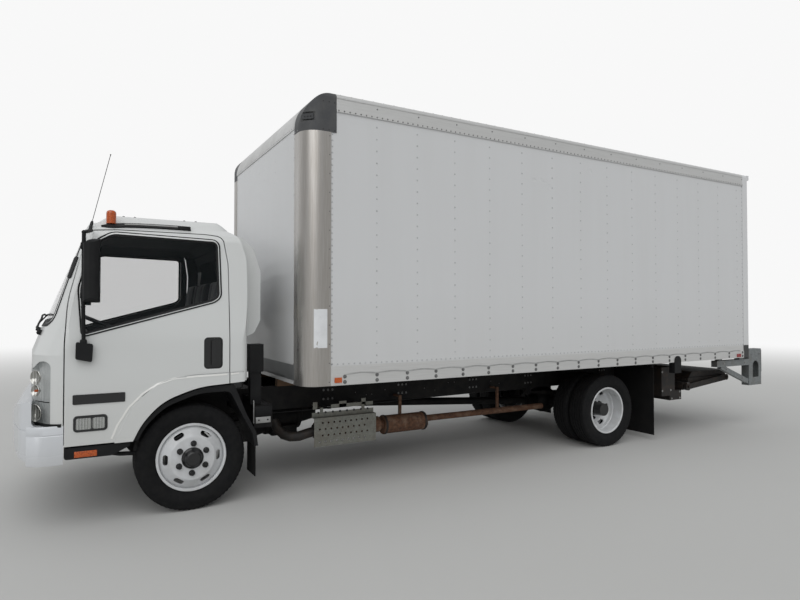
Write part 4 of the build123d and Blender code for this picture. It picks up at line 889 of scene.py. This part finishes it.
def lining(name, node, body):
    # the piece's inner faces, drawn again a little further in, as its lining
    form = bmesh.new()
    form.from_mesh(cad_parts[node].data)
    outward = []
    for face in form.faces:
        towards = CAB_HEART - face.calc_center_median()
        towards.y *= 0.5
        turned_away = face.normal.dot(towards.normalized()) < LINING_FACING
        if turned_away or face.calc_center_median().z < LINING_LOW_Z:
            outward.append(face)
    bmesh.ops.delete(form, geom=outward, context="FACES")
    bmesh.ops.remove_doubles(form, verts=form.verts, dist=0.0001)
    for corner in form.verts:
        corner.co += corner.normal * LINING_IN
    show(name, form, cab_trim, body)


def headlamp_insides():
    # bright bowls and a bulb behind each clear corner lens
    bowls = []
    bulbs = []
    x, y = LAMP_PLACE
    for side in SIDES:
        away = Vector((side * 0.62, -0.78, 0.0)).normalized()
        for z, size in HEADLAMP_BOWLS:
            bowl = [(-0.020, size * 0.3), (0.0, size * 0.8), (0.012, size), (0.014, size * 0.96),
                    (0.0, size * 0.6), (-0.012, size * 0.25)]
            bowls.append((lathe, Vector(at(side * x, y, z)) - away * 0.004, away, bowl, 20))
        bulb = [(-0.01, 0.009), (0.006, 0.009), (0.014, 0.004)]
        bulbs.append((lathe, at(side * x, y, BULB_Z), away, bulb))
    drawn("headlamp_bowls", lamp_reflector, *bowls)
    drawn("headlamp_bulbs", lens_amber, *bulbs)


def lamp_trims():
    # black strip under each headlamp, above the bumper, and the split between its lenses
    skin = skin_of("cab_shell", "headlamps")
    under = side_line(grid(spread(-1.045, -0.872, 0.02), [0.747]))
    split = side_line(grid(spread(-1.030, -0.945, 0.017), [0.905]))
    drawn("headlamp_trims", rubber_black,
          *[(strip_on, on_side(skin, side), line, *strip) for side in SIDES
            for line, strip in ((under, UNDER_LAMP_STRIP), (split, LAMP_SPLIT_STRIP))])


def antenna():
    foot = Vector(at(0.880, -0.700, 2.150))
    tip = Vector(at(0.880, -0.578, 2.680))
    drawn("radio_antenna", dark_fastener,
          (lathe, foot, tip - foot, [(-0.03, 0.012), (0.02, 0.011), (0.035, 0.006)]),
          (tube, [foot, tip], 0.0022, 6),
          (lathe, tip, tip - foot, [(-0.003, 0.003), (0.0, 0.005), (0.005, 0.003)], 10))


def wipers():
    look = on_front(skin_of("cab_shell", "cab_glass"))
    strokes = []
    for pivot_x, tip_x in ((0.70, 0.12), (-0.02, -0.60)):
        pivot, facing = look(pivot_x, 1.375)
        arm = []
        for share in (0.0, 0.25, 0.5, 0.75, 1.0):
            z = 1.385 + 0.11 * math.sin(share * math.pi / 2)
            spot, facing = look(pivot_x + (tip_x - pivot_x) * share, z)
            arm.append(spot + facing * (0.035 if share < 0.9 else 0.024))
        blade = []
        for share in spread(0.0, 1.0, 0.1):
            spot, facing = look(tip_x + 0.24 - 0.48 * share, 1.492)
            blade.append(spot + facing * 0.012)
        strokes += [(lathe, pivot, (0, -1, 0.4), [(-0.01, 0.02), (0.02, 0.02), (0.03, 0.012)], 14),
                    (tube, arm, 0.007, 6), (tube, blade, 0.008, 6)]
    drawn("wipers", rubber_black, *strokes)


def small_cab_fittings():
    studs = grid((-0.62, 0.62), [FRONT_AXLE_Y + y for y in (-0.47, -0.39, -0.02, 0.07)])
    stud = ([(-0.004, 0.010), (0.007, 0.009), (0.010, 0.005)], 10)
    look = on_top(skin_of("cab_roof_crown", "cab_shell"))
    drawn("roof_studs", rubber_black, (fasten, lathe, stud, look, studs))
    drawn("sill_reflectors", lens_amber,
          *[(brick, at(side * 1.0035, -0.793, 0.514), at(side * 1.009, -0.652, 0.556), 2) for side in SIDES])
    drawn("rear_vent_strip", rubber_black, (brick, at(0.694, 0.40, 1.53), at(0.712, 0.512, 1.85), 4))
    drawn("blank_yellow_tag", yellow_tag, (brick, at(0.655, 0.574, 1.461), at(0.735, 0.578, 1.589), 1))
    drawn("cab_corner_loops", chassis_black,
          *[(tube, [at(side * 0.985, y, z) for y, z in CORNER_LOOP], 0.006) for side in SIDES])


def mirror_fittings():
    # clamps and foot of the mirror arm, and the glass at the back of the head
    for side in SIDES:
        word = WORDS[side]
        body = word + "_door_body"
        clamps = [(brick, at(side * 1.062, -0.768, z - 0.022), at(side * 1.100, -0.728, z + 0.022), 5)
                  for z in (1.64, 1.98)]
        foot = (brick, at(side * 1.022, -0.765, 1.292), at(side * 1.062, -0.722, 1.335), 8)
        drawn(word + "_mirror_clamps", rubber_black, *clamps, foot, body=body)
        middle = side * MIRROR_X
        edge = rounded(box_corners(middle - 0.066, middle + 0.066, 1.65, 1.97, 0.02), 0.06)
        look = on_back(skin_of(word + "_mirror"))
        drawn(word + "_mirror_glass", mirror_silver, (plate_on, look, edge, 0.0015), body=body)


window_rubber()
drip_rails()
pillar_pads()
turn_lamps()
lining("cab_lining", "cab_shell", "truck")
lining("left_door_lining", "left_door", "left_door_body")
lining("right_door_lining", "right_door", "right_door_body")
headlamp_insides()
lamp_trims()
antenna()
wipers()
small_cab_fittings()
mirror_fittings()


# The pressed line over each wheel arch, drawn as a raised strip of whiter paint that is a painted highlight,
# and the bumper's ends
ARCH_LINE = [(-0.562, 0.625), (-0.525, 0.718), (-0.453, 0.836), (-0.36, 0.932), (-0.263, 0.993),
             (-0.15, 1.028), (-0.005, 1.035), (0.131, 1.037), (0.242, 1.039)]
CORNER_LINE = [(0.268, 1.04), (0.324, 1.044), (0.38, 1.047)]
BUMPER_WRAP = [(0.955, -4.176), (0.984, -4.148), (1.004, -4.110), (1.016, -4.070), (1.0212, -4.030),
               (1.0212, -3.957)]
# the wrap in section: how far in from its face, and the height; a groove runs along it
WRAP_SECTION = [(0.014, 0.479), (0.003, 0.479), (0.0, 0.489), (0.0, 0.676), (0.003, 0.680),
                (0.003, 0.684), (0.0, 0.688), (0.0, 0.733), (0.004, 0.745), (0.014, 0.745)]


def arch_highlight_strips():
    skin = skin_of("cab_shell", "left_door", "right_door")
    for side in SIDES:
        word = WORDS[side]
        for name, path, body in (("_door_arch_highlight", ARCH_LINE, word + "_door_body"),
                                 ("_corner_arch_highlight", CORNER_LINE, "truck")):
            stroke = (strip_on, on_side(skin, side), side_line(path), *ARCH_HIGHLIGHT_STRIP)
            # each strip is whiter paint: a painted highlight along the pressed line
            drawn(word + name, crease_highlight_white, stroke, body=body)


def bumper_ends():
    form = bmesh.new()
    for side in SIDES:
        stack(form, [[form.verts.new((side * (x - inward), y, z)) for inward, z in WRAP_SECTION]
                     for x, y in BUMPER_WRAP])
    finish_piece("bumper_ends", form, bumper_white)


arch_highlight_strips()
bumper_ends()


# Tyres with their tread: each stands for the smooth one of the model, at the same size.
# Half a tyre in section: the place out from its middle, and the radius there
HALF_TREAD = [
    (0.0, 0.4055), (0.0140, 0.4055), (0.0150, 0.3965), (0.0210, 0.3965), (0.0220, 0.4054),
    (0.0490, 0.4052), (0.0500, 0.3962), (0.0560, 0.3962), (0.0570, 0.4050), (0.0760, 0.4045),
    (0.0860, 0.4036), (0.0945, 0.4015), (0.1005, 0.3970), (0.1035, 0.3910), (0.1055, 0.3850),
    (0.1080, 0.3740), (0.1072, 0.3725), (0.1105, 0.3600), (0.1124, 0.3460), (0.1130, 0.3340),
    (0.1118, 0.3200), (0.1078, 0.3040), (0.1060, 0.3010), (0.1005, 0.2870), (0.0920, 0.2720),
    (0.0870, 0.2640), (0.0854, 0.2610), (0.0854, 0.2484),
]
TREAD_PITCHES = 72
COLUMNS_PER_PITCH = 3
NOTCH_DEPTH = 0.006
ZIGZAG = 0.0016
ZIGZAG_OUT = 0.06
SHOULDER_OUT = 0.08
SHOULDER_RADIUS = 0.39
# name of the node and of its wheel, body, x of each tyre, y of the axle, x of the disc's face
WHEEL_PLACES = [
    ("left_front_tyre", "left_front_wheel", (0.832,), FRONT_AXLE_Y, FRONT_FACE_X),
    ("right_front_tyre", "right_front_wheel", (-0.832,), FRONT_AXLE_Y, FRONT_FACE_X),
    ("left_rear_tyres", "left_rear_wheel", (0.952, 0.697), REAR_AXLE_Y, REAR_FACE_X),
    ("right_rear_tyres", "right_rear_wheel", (-0.952, -0.697), REAR_AXLE_Y, REAR_FACE_X),
]
NUT_RING = 0.1111
NUT_COUNT = 6


def tyre_form(form, centre_x, centre_y):
    # two grooves zigzag round each half, and notches cut the shoulders
    columns = TREAD_PITCHES * COLUMNS_PER_PITCH
    loops = []
    for k in range(columns):
        turn = 2 * math.pi * k / columns
        sway = ZIGZAG if (k // COLUMNS_PER_PITCH) % 2 else -ZIGZAG
        loop = []
        for side, half in ((-1, HALF_TREAD[::-1]), (1, HALF_TREAD[1:])):
            for out, radius in half:
                on_shoulder = out > SHOULDER_OUT and radius > SHOULDER_RADIUS
                if on_shoulder and k % COLUMNS_PER_PITCH == 0:
                    radius -= NOTCH_DEPTH
                x = side * out + (sway if 0.0 < out < ZIGZAG_OUT else 0.0)
                y = centre_y + radius * math.sin(turn)
                loop.append(form.verts.new((centre_x + x, y, AXLE_Z + radius * math.cos(turn))))
        loops.append(loop)
    for first, second in zip(loops, loops[1:] + loops[:1]):
        join_rings(form, first, second)


def tyres():
    for node_name, wheel_name, places, axle_y, face_x in WHEEL_PLACES:
        body = wheel_name + "_set"
        form = bmesh.new()
        for x in places:
            tyre_form(form, x, axle_y)
        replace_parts(finish_piece(node_name + "_tread", form, tyre_black, body, 28), node_name)
        sign = 1 if places[0] > 0 else -1
        foot = Vector((places[0] + sign * 0.062, axle_y + 0.150, AXLE_Z + 0.163))
        bend = foot + Vector((sign * 0.016, -0.006, -0.008))
        tip = foot + Vector((sign * 0.040, -0.012, -0.014))
        drawn(node_name + "_valve", fastener_metal, (tube, [foot, bend, tip], 0.0042), body=body)


def wheel_nuts():
    # black hexagon nuts on every wheel, each with its washer and the end of its stud
    for node_name, wheel_name, places, axle_y, face_x in WHEEL_PLACES:
        form = bmesh.new()
        sign = 1 if places[0] > 0 else -1
        for k in range(NUT_COUNT):
            turn = math.radians(360 / NUT_COUNT * k + 3)
            spot = (sign * face_x, axle_y + NUT_RING * math.sin(turn), AXLE_Z + NUT_RING * math.cos(turn))
            lathe(form, spot, (sign, 0, 0), [(-0.002, 0.023), (0.003, 0.023)], 16)
            lathe(form, spot, (sign, 0, 0), [(0.002, 0.0195), (0.024, 0.0195), (0.028, 0.015)], 6)
            lathe(form, spot, (sign, 0, 0), [(0.02, 0.009), (0.036, 0.009)], 10)
        finish_piece(wheel_name + "_nuts", form, dark_fastener, wheel_name + "_set")


tyres()
wheel_nuts()


# Underneath and behind: pipes, bolts, straps, hoods and stays, placed from the front axle
SILL_BAR = [(0.86, -0.60, 0.502), (0.86, -0.50, 0.478), (0.86, -0.38, 0.470)]
EXHAUST_ELBOW = [(0.600, 1.150, 0.435), (0.600, 1.060, 0.420), (0.590, 0.985, 0.400), (0.555, 0.915, 0.395),
                 (0.500, 0.865, 0.410), (0.430, 0.835, 0.450), (0.370, 0.820, 0.510)]
EXHAUST_BANDS = [(1.840, 0.423, 0.0895), (2.283, 0.423, 0.0895), (1.125, 0.432, 0.058)]
SHIELD_FRONT_Y = -2.012
FLANGE_Z = 0.603
HOLE_PITCH = 0.0714
# tabs along the top of the guard: start and end from its front, and the height
SHIELD_TABS = [(0.012, 0.055, 0.700), (0.190, 0.622, 0.668), (0.270, 0.345, 0.692), (0.500, 0.545, 0.704)]
GEARBOX = [(0.0, 0.245), (0.03, 0.245), (0.04, 0.225), (0.19, 0.180), (0.21, 0.195), (0.24, 0.195),
           (0.26, 0.165), (0.50, 0.145), (0.52, 0.160), (0.55, 0.160), (0.57, 0.110), (0.72, 0.080)]
# brake and fuel lines: x, height, and how far the middle of the line sags
PIPE_RUNS = [(0.300, 0.600, 0.02), (0.330, 0.640, -0.015), (-0.31, 0.62, 0.02)]
MEMBER_PLACES = (1.330, 2.150, 3.050, 3.850, 5.090, 5.700)
RAIL_RIVETS = [(1.62, 0.73), (1.74, 0.70), (1.80, 0.70), (1.95, 0.735), (2.42, 0.72), (2.55, 0.69),
               (2.72, 0.76), (2.80, 0.76), (3.30, 0.74), (3.42, 0.71), (0.62, 0.70), (0.70, 0.70)]
SPRING_X = 0.390
# U-bolts: y of the axle, height of their tops and of their feet
SPRING_BOLTS = [(FRONT_AXLE_Y, 0.535, 0.300), (REAR_AXLE_Y, 0.585, 0.330)]
HOOD_ARCH = [(5.424, 0.790, 0.0), (5.547, 0.790, 0.0), (5.547, 0.993, 0.055), (5.424, 0.993, 0.055)]
HOOD_MID_Y = FRONT_AXLE_Y + 5.4855
STEP_BOLTS = [(6.52, 0.850), (6.98, 0.850), (6.60, 0.775), (6.96, 0.640)]
LIFT_BOLTS = [(5.50, 0.55), (5.66, 0.55), (5.50, 0.78), (5.66, 0.78), (5.82, 0.42), (5.98, 0.42),
              (5.82, 0.50), (5.98, 0.50)]
SHUTTER_COLUMNS_X = (-1.06, -0.53, 0.0, 0.53, 1.06)
SHUTTER_PITCH = 0.1375
LATCH_Y = BODY_REAR_Y - 0.043
BACKWARD = (0, 1, 0)


def exhaust_fittings():
    bands = [(lathe, at(0.600, y - 0.012, z), BACKWARD,
              [(0.0, radius), (0.003, radius + 0.004), (0.021, radius + 0.004), (0.024, radius)], 28)
             for y, z, radius in EXHAUST_BANDS]
    drawn("exhaust_elbow_and_bands", lift_black,
          (tube, [at(*place) for place in EXHAUST_ELBOW], 0.044, 16), *bands)


def heat_shield_fittings():
    # stepped tabs along the top of the guard, and dark discs on its slanted flange, painted as the shade
    # seen through its holes
    drawn("heat_shield_tabs", zinc,
          *[(brick, (0.628, SHIELD_FRONT_Y + start, 0.634), (0.634, SHIELD_FRONT_Y + end, top), 1)
            for start, end, top in SHIELD_TABS])
    places = grid(spread(SHIELD_FRONT_Y + 0.06, SHIELD_FRONT_Y + 0.56, HOLE_PITCH), [FLANGE_Z])
    # dark discs on the flange where its holes are: painted shade
    hole_shade_disc = ([(-0.001, 0.0105), (0.0008, 0.0105)],)
    look = on_side(skin_of("heat_shield"), TRUCK_LEFT)
    drawn("heat_shield_hole_shade", dark_fastener, (fasten, lathe, hole_shade_disc, look, places))


def gearbox_and_lines():
    # cast housing between the rails, behind the engine, with its flanges and ribs
    drawn("gearbox_case", chassis_black, (lathe, (0.0, -2.480, 0.520), BACKWARD, GEARBOX, 24),
          (brick, (-0.16, -2.24, 0.330), (0.16, -1.98, 0.420), 12))
    runs = [[(x, -2.7, z), (x, -2.2, z - sag), (x, -1.5, z - sag), (x, -0.8, z), (x, 0.2, z + 0.01),
             (x, 1.0, z)] for x, z, sag in PIPE_RUNS]
    drawn("brake_and_fuel_lines", dark_fastener, *[(tube, run, 0.008) for run in runs])


def fuel_tank_fittings():
    # straps round the tank on the right side, with its filler cap
    drawn("tank_straps", fastener_metal,
          *[(brick, (-0.9345, y - 0.022, 0.4355), (-0.424, y + 0.022, 0.8145), 2) for y in (-1.400, -0.600)])
    cap = [(0.0, 0.056), (0.012, 0.056), (0.013, 0.044), (0.040, 0.042), (0.044, 0.034)]
    drawn("tank_cap", black_plastic, (lathe, (-0.928, -1.000, 0.700), (-1, 0, 0), cap, 24))


def rail_bolts():
    # rows of bolts on the chassis rails, as at brackets and cross-members
    skin = skin_of("chassis_rails")
    columns = [member + y for member in MEMBER_PLACES for y in (-0.045, 0.0, 0.045)]
    bolts = side_line(grid(columns, (0.690, 0.775)))
    rivets = side_line(RAIL_RIVETS)
    drawn("rail_bolts", dull_fastener,
          *[(fasten, head, size, on_side(skin, side), places) for side in SIDES
            for head, size, places in ((bolt, (0.007, 0.008), bolts), (rivet, (0.006, 0.005), rivets))])


def spring_fittings():
    # U-bolts round the springs
    strokes = []
    for side in SIDES:
        x0 = side * SPRING_X - 0.042
        x1 = side * SPRING_X + 0.042
        for axle_y, top, low in SPRING_BOLTS:
            for y in (axle_y - 0.048, axle_y + 0.048):
                hoop = [(x0, y, low), (x0, y, top - 0.01), (x0 + 0.012, y, top + 0.004),
                        (x1 - 0.012, y, top + 0.004), (x1, y, top - 0.01), (x1, y, low)]
                strokes.append((tube, hoop, 0.008))
                strokes += [(lathe, (x, y, low + 0.004), (0, 0, 1), [(0.0, 0.015), (0.016, 0.015)], 6)
                            for x in (x0, x1)]
    drawn("spring_u_bolts", chassis_black, *strokes)


def battery_box_plate():
    drawn("battery_box_stay", fastener_metal,
          (brick, at(0.8302, 0.520, 0.598), at(0.836, 0.645, 0.648), 2),
          (brick, at(0.815, 0.500, 0.600), at(0.834, 0.5068, 0.790), 2))
    studs = [(lathe, at(0.836, y, 0.623), (1, 0, 0), [(-0.001, 0.007), (0.003, 0.007)], 8)
             for y in (0.545, 0.620)]
    lid = (brick, at(0.8302, 0.512, 0.664), at(0.840, 0.655, 0.738), 4)
    drawn("battery_box_lid", black_plastic, lid, *studs)


def rubber_hoods():
    # black rounded hood over the lower rail, in front of the liftgate, eased at its outer edge
    form = bmesh.new()
    outline = rounded(from_axle(HOOD_ARCH), 0.03)
    for side in SIDES:
        stack(form, [[form.verts.new((side * x, p.x + (HOOD_MID_Y - p.x) * eased_in, p.y)) for p in outline]
                     for x, eased_in in ((1.150, 0.0), (1.224, 0.0), (1.2265, 0.04))])
    finish_piece("rail_hoods", form, black_plastic)


def tail_fittings():
    skin = skin_of("step_blocks")
    drawn("step_bolts", fastener_metal,
          *[(fasten, bolt, (0.009, 0.008), on_side(skin, side), side_line(STEP_BOLTS)) for side in SIDES])
    look = on_side(skin_of("liftgate_frame"), TRUCK_LEFT)
    boss = [(0.0, 0.034), (0.012, 0.034), (0.016, 0.022), (0.03, 0.022)]
    drawn("liftgate_bolts", fastener_metal, (fasten, bolt, (0.008, 0.007), look, side_line(LIFT_BOLTS)),
          (lathe, at(0.770, 6.008, 0.460), BACKWARD, boss))


def shutter_fittings():
    # rivets in rows on the roll-up door's panels, and the latch bar with its keeper
    places = grid(SHUTTER_COLUMNS_X, spread(1.12, 3.03, SHUTTER_PITCH))
    look = on_back(skin_of("roll_up_door"))
    drawn("shutter_rivets", shaded_panel_rivet, (fasten, rivet, (0.006, 0.003), look, places))
    drawn("shutter_latch", fastener_metal,
          (brick, (-0.045, LATCH_Y - 0.002, 1.150), (0.045, LATCH_Y + 0.012, 1.250), 3),
          (brick, (-0.012, LATCH_Y + 0.010, 1.060), (0.012, LATCH_Y + 0.024, 1.230), 3),
          (tube, [(-0.05, LATCH_Y + 0.03, 1.205), (0.05, LATCH_Y + 0.03, 1.205)], 0.006))


# black bar from the sill back to the wheel arch, under each door
drawn("sill_bars", black_plastic,
      *[(tube, [at(side * x, y, z) for x, y, z in SILL_BAR], 0.016, 10) for side in SIDES])
exhaust_fittings()
heat_shield_fittings()
gearbox_and_lines()
fuel_tank_fittings()
rail_bolts()
spring_fittings()
battery_box_plate()
rubber_hoods()
tail_fittings()
shutter_fittings()


# Seat pads: foam cushions in woven cloth, sewn in channels, on rigid bases
# columns: name, left and right edge
SEAT_WIDTHS = [
    ("driver_seat", 0.310, 0.810),
    ("middle_seat", -0.410, 0.150),
    ("passenger_seat", -0.850, -0.430),
]
CUSHION_Y = (-3.415, -2.985)
CUSHION_Z = (1.190, 1.272)
BACK_FOOT = (-2.915, 1.045)
BACK_THICK = 0.085
BACK_TALL = 0.745
BACK_LEAN_DEG = 8.0
BACKS = 1
CUSHIONS = 2
PAD_EDGE_MM = 24
PAD_VOXEL = 0.015
PAD_RISE_MOST = 0.024
# sewn seams: two along the pad, so far from its middle, and one across it, so far up or back
SEAM_SHARE = 0.27
CROSS_SEAM_SHARE = {CUSHIONS: 0.26, BACKS: 0.70}
SEAM_HALF = 0.009
SEAM_SINK = 0.006
OUTER_DEPTH = 0.012
REST_DEPTH = 0.004
SETTLE_FRAMES = 20


def keep_shape(pad):
    # the shape that the modifiers give becomes the mesh itself
    shaped = bpy.data.meshes.new_from_object(pad.evaluated_get(bpy.context.evaluated_depsgraph_get()))
    pad.modifiers.clear()
    pad.data = shaped


def even_block(name, low, high):
    form = bmesh.new()
    brick(form, low, high, PAD_EDGE_MM)
    mesh = bpy.data.meshes.new(name)
    form.to_mesh(mesh)
    form.free()
    pad = bpy.data.objects.new(name, mesh)
    bpy.context.scene.collection.objects.link(pad)
    even = pad.modifiers.new("even", "REMESH")
    even.mode = "VOXEL"
    even.voxel_size = PAD_VOXEL
    keep_shape(pad)
    return pad


def foam_pad(name, low, high, axis, rest_face):
    # the axis is the way the pad swells: up for a cushion, forward for a back
    pad = even_block(name, low, high)
    held = pad.vertex_groups.new(name="held")
    middle = (low[0] + high[0]) / 2
    quarter = (high[0] - low[0]) * SEAM_SHARE
    cushion = axis == CUSHIONS
    along = BACKS if cushion else CUSHIONS
    cross = low[along] + (high[along] - low[along]) * CROSS_SEAM_SHARE[axis]
    for point in pad.data.vertices:
        off_seam = min(abs(abs(point.co.x - middle) - quarter), abs(point.co[along] - cross))
        seam = off_seam < SEAM_HALF
        height = point.co[axis]
        outer = height > high[2] - OUTER_DEPTH if cushion else height < low[1] + OUTER_DEPTH
        resting = abs(height - rest_face) < REST_DEPTH
        if resting or (seam and outer):
            held.add([point.index], 1.0, "REPLACE")
            if seam and outer:
                point.co[axis] -= SEAM_SINK if cushion else -SEAM_SINK
    fabric = pad.modifiers.new("fabric", "CLOTH")
    fabric.settings.quality = 5
    fabric.settings.tension_stiffness = 8
    fabric.settings.compression_stiffness = 8
    fabric.settings.bending_stiffness = 0.4
    fabric.settings.use_pressure = True
    fabric.settings.uniform_pressure_force = 4.0
    fabric.settings.vertex_group_mass = "held"
    fabric.settings.effector_weights.gravity = 0.0
    fabric.collision_settings.use_collision = False
    fabric.point_cache.frame_end = SETTLE_FRAMES
    return pad


def seat_pads():
    pads = []
    lean = Matrix.Rotation(math.radians(-BACK_LEAN_DEG), 4, "X")
    place = Matrix.Translation((0.0, *BACK_FOOT)) @ lean
    for name, x_low, x_high in SEAT_WIDTHS:
        cushion = foam_pad(name + "_cushion", (x_low + 0.014, CUSHION_Y[0], CUSHION_Z[0]),
                           (x_high - 0.014, CUSHION_Y[1], CUSHION_Z[1]), CUSHIONS, CUSHION_Z[0])
        back = foam_pad(name + "_back", (x_low + 0.022, -BACK_THICK / 2, 0.0),
                        (x_high - 0.022, BACK_THICK / 2, BACK_TALL), BACKS, BACK_THICK / 2)
        pads += [(cushion, Matrix.Identity(4)), (back, place)]
    starts = [[point.co.copy() for point in pad.data.vertices] for pad, place in pads]
    for step in range(1, SETTLE_FRAMES + 1):
        bpy.context.scene.frame_set(step)
    for (pad, place), first in zip(pads, starts):
        keep_shape(pad)
        for point, start in zip(pad.data.vertices, first):
            move = point.co - start
            if move.length > PAD_RISE_MOST:
                point.co = start + move * (PAD_RISE_MOST / move.length)
        finer = pad.modifiers.new("finer", "SUBSURF")
        finer.levels = 1
        finer.render_levels = 1
        keep_shape(pad)
        pad.data.transform(place)
        pad.data.materials.clear()
        pad.data.materials.append(seat_cloth)
        pad.data.shade_smooth()
        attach(pad, "truck")
        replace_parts(pad, "cab_seats")
    bpy.context.scene.frame_set(1)


def seat_bases():
    form = bmesh.new()
    for name, x_low, x_high in SEAT_WIDTHS:
        brick(form, (x_low + 0.045, -3.340, 0.985), (x_high - 0.045, -2.990, 1.192), 10)
        brick(form, (x_low + 0.060, -2.935, 1.020), (x_high - 0.060, -2.885, 1.260), 8)
    finish_piece("seat_bases", form, trim_plastic)


seat_pads()
seat_bases()


# Floor, light and camera
FLOOR_REACH = 60.0
FADE_FROM = 7.0
FADE_TO = 26.0
BACKDROP_LEVEL = 0.94
SKY_LEVEL = 0.46
SKY_COLOUR = (0.97, 0.985, 1.0, 1)
# wide soft lights, as from a bright overcast sky: strength, angle in degrees, the way they
# come from
LIGHTS = {
    "key": (1.45, 70.0, (0.75, -0.45, 0.85)),
    "fill": (0.35, 80.0, (-0.7, -0.5, 0.8)),
}
PHOTO_FOCAL_PX = 578.5
PHOTO_WIDTH_PX = 800
PHOTO_YAW_DEG = 29.48
PHOTO_PITCH_DEG = 1.08
PHOTO_PLACE = at(5.615, -0.809, 1.532)
FILM_WIDTH_MM = 36.0


def studio():
    reach = FLOOR_REACH
    floor_mesh = bpy.data.meshes.new("studio_floor")
    floor_mesh.from_pydata([(-reach, -reach, 0), (reach, -reach, 0), (reach, reach, 0), (-reach, reach, 0)],
                           [], [(0, 1, 2, 3)])
    floor = bpy.data.objects.new("studio_floor", floor_mesh)
    bpy.context.scene.collection.objects.link(floor)
    paper, place = surface("pale studio floor", 0.9)
    finish(paper, blend(patches(place, 2500, 0.3, 0.8) * 0.3, "C0C0BE", "B9B9B7"))
    # far off, the floor runs into the white of the backdrop with no edge
    tree = paper.node_tree
    distance = add(tree, "ShaderNodeVectorMath", {0: place}, "Value", operation="LENGTH")
    fade = add(tree, "ShaderNodeMapRange", {"Value": distance, "From Min": FADE_FROM, "From Max": FADE_TO},
               interpolation_type="SMOOTHSTEP")
    glow = add(tree, "ShaderNodeEmission", {"Color": WHITE, "Strength": BACKDROP_LEVEL})
    far_and_seen = fade * add(tree, "ShaderNodeLightPath", out="Is Camera Ray")
    shader = Wire(tree, tree.nodes["Principled BSDF"])
    ground = add(tree, "ShaderNodeMixShader", {0: far_and_seen, 1: shader, 2: glow})
    tree.links.new(ground.socket, tree.nodes["Material Output"].inputs["Surface"])
    floor_mesh.materials.append(paper)

    world = bpy.data.worlds.new("studio light")
    bpy.context.scene.world = world
    world.use_nodes = True
    tree = world.node_tree
    tree.nodes.clear()
    path = add(tree, "ShaderNodeLightPath")
    seen = path["Is Camera Ray"].maths("MAXIMUM", path["Is Transmission Ray"])
    backdrop = add(tree, "ShaderNodeBackground", {"Color": WHITE, "Strength": BACKDROP_LEVEL})
    sky = add(tree, "ShaderNodeBackground", {"Color": SKY_COLOUR, "Strength": SKY_LEVEL})
    both = add(tree, "ShaderNodeMixShader", {0: seen, 1: sky, 2: backdrop})
    add(tree, "ShaderNodeOutputWorld", {"Surface": both})

    for name, (level, width_deg, direction) in LIGHTS.items():
        light = bpy.data.lights.new(name, "SUN")
        light.energy = level
        light.angle = math.radians(width_deg)
        holder = bpy.data.objects.new(name, light)
        holder.rotation_euler = (-Vector(direction)).to_track_quat("-Z", "Y").to_euler()
        bpy.context.scene.collection.objects.link(holder)


def photo_camera():
    lens = bpy.data.cameras.new("photo camera")
    lens.sensor_width = FILM_WIDTH_MM
    lens.lens = PHOTO_FOCAL_PX * FILM_WIDTH_MM / PHOTO_WIDTH_PX
    lens.clip_end = 200.0
    holder = bpy.data.objects.new("photo camera", lens)
    yaw = math.radians(PHOTO_YAW_DEG)
    pitch = math.radians(PHOTO_PITCH_DEG)
    ahead = Vector((-math.cos(yaw) * math.cos(pitch), math.sin(yaw) * math.cos(pitch), math.sin(pitch)))
    holder.location = PHOTO_PLACE
    holder.rotation_euler = ahead.to_track_quat("-Z", "Y").to_euler()
    bpy.context.scene.collection.objects.link(holder)
    bpy.context.scene.camera = holder


studio()
photo_camera()
bpy.context.scene.view_settings.view_transform = "Standard"
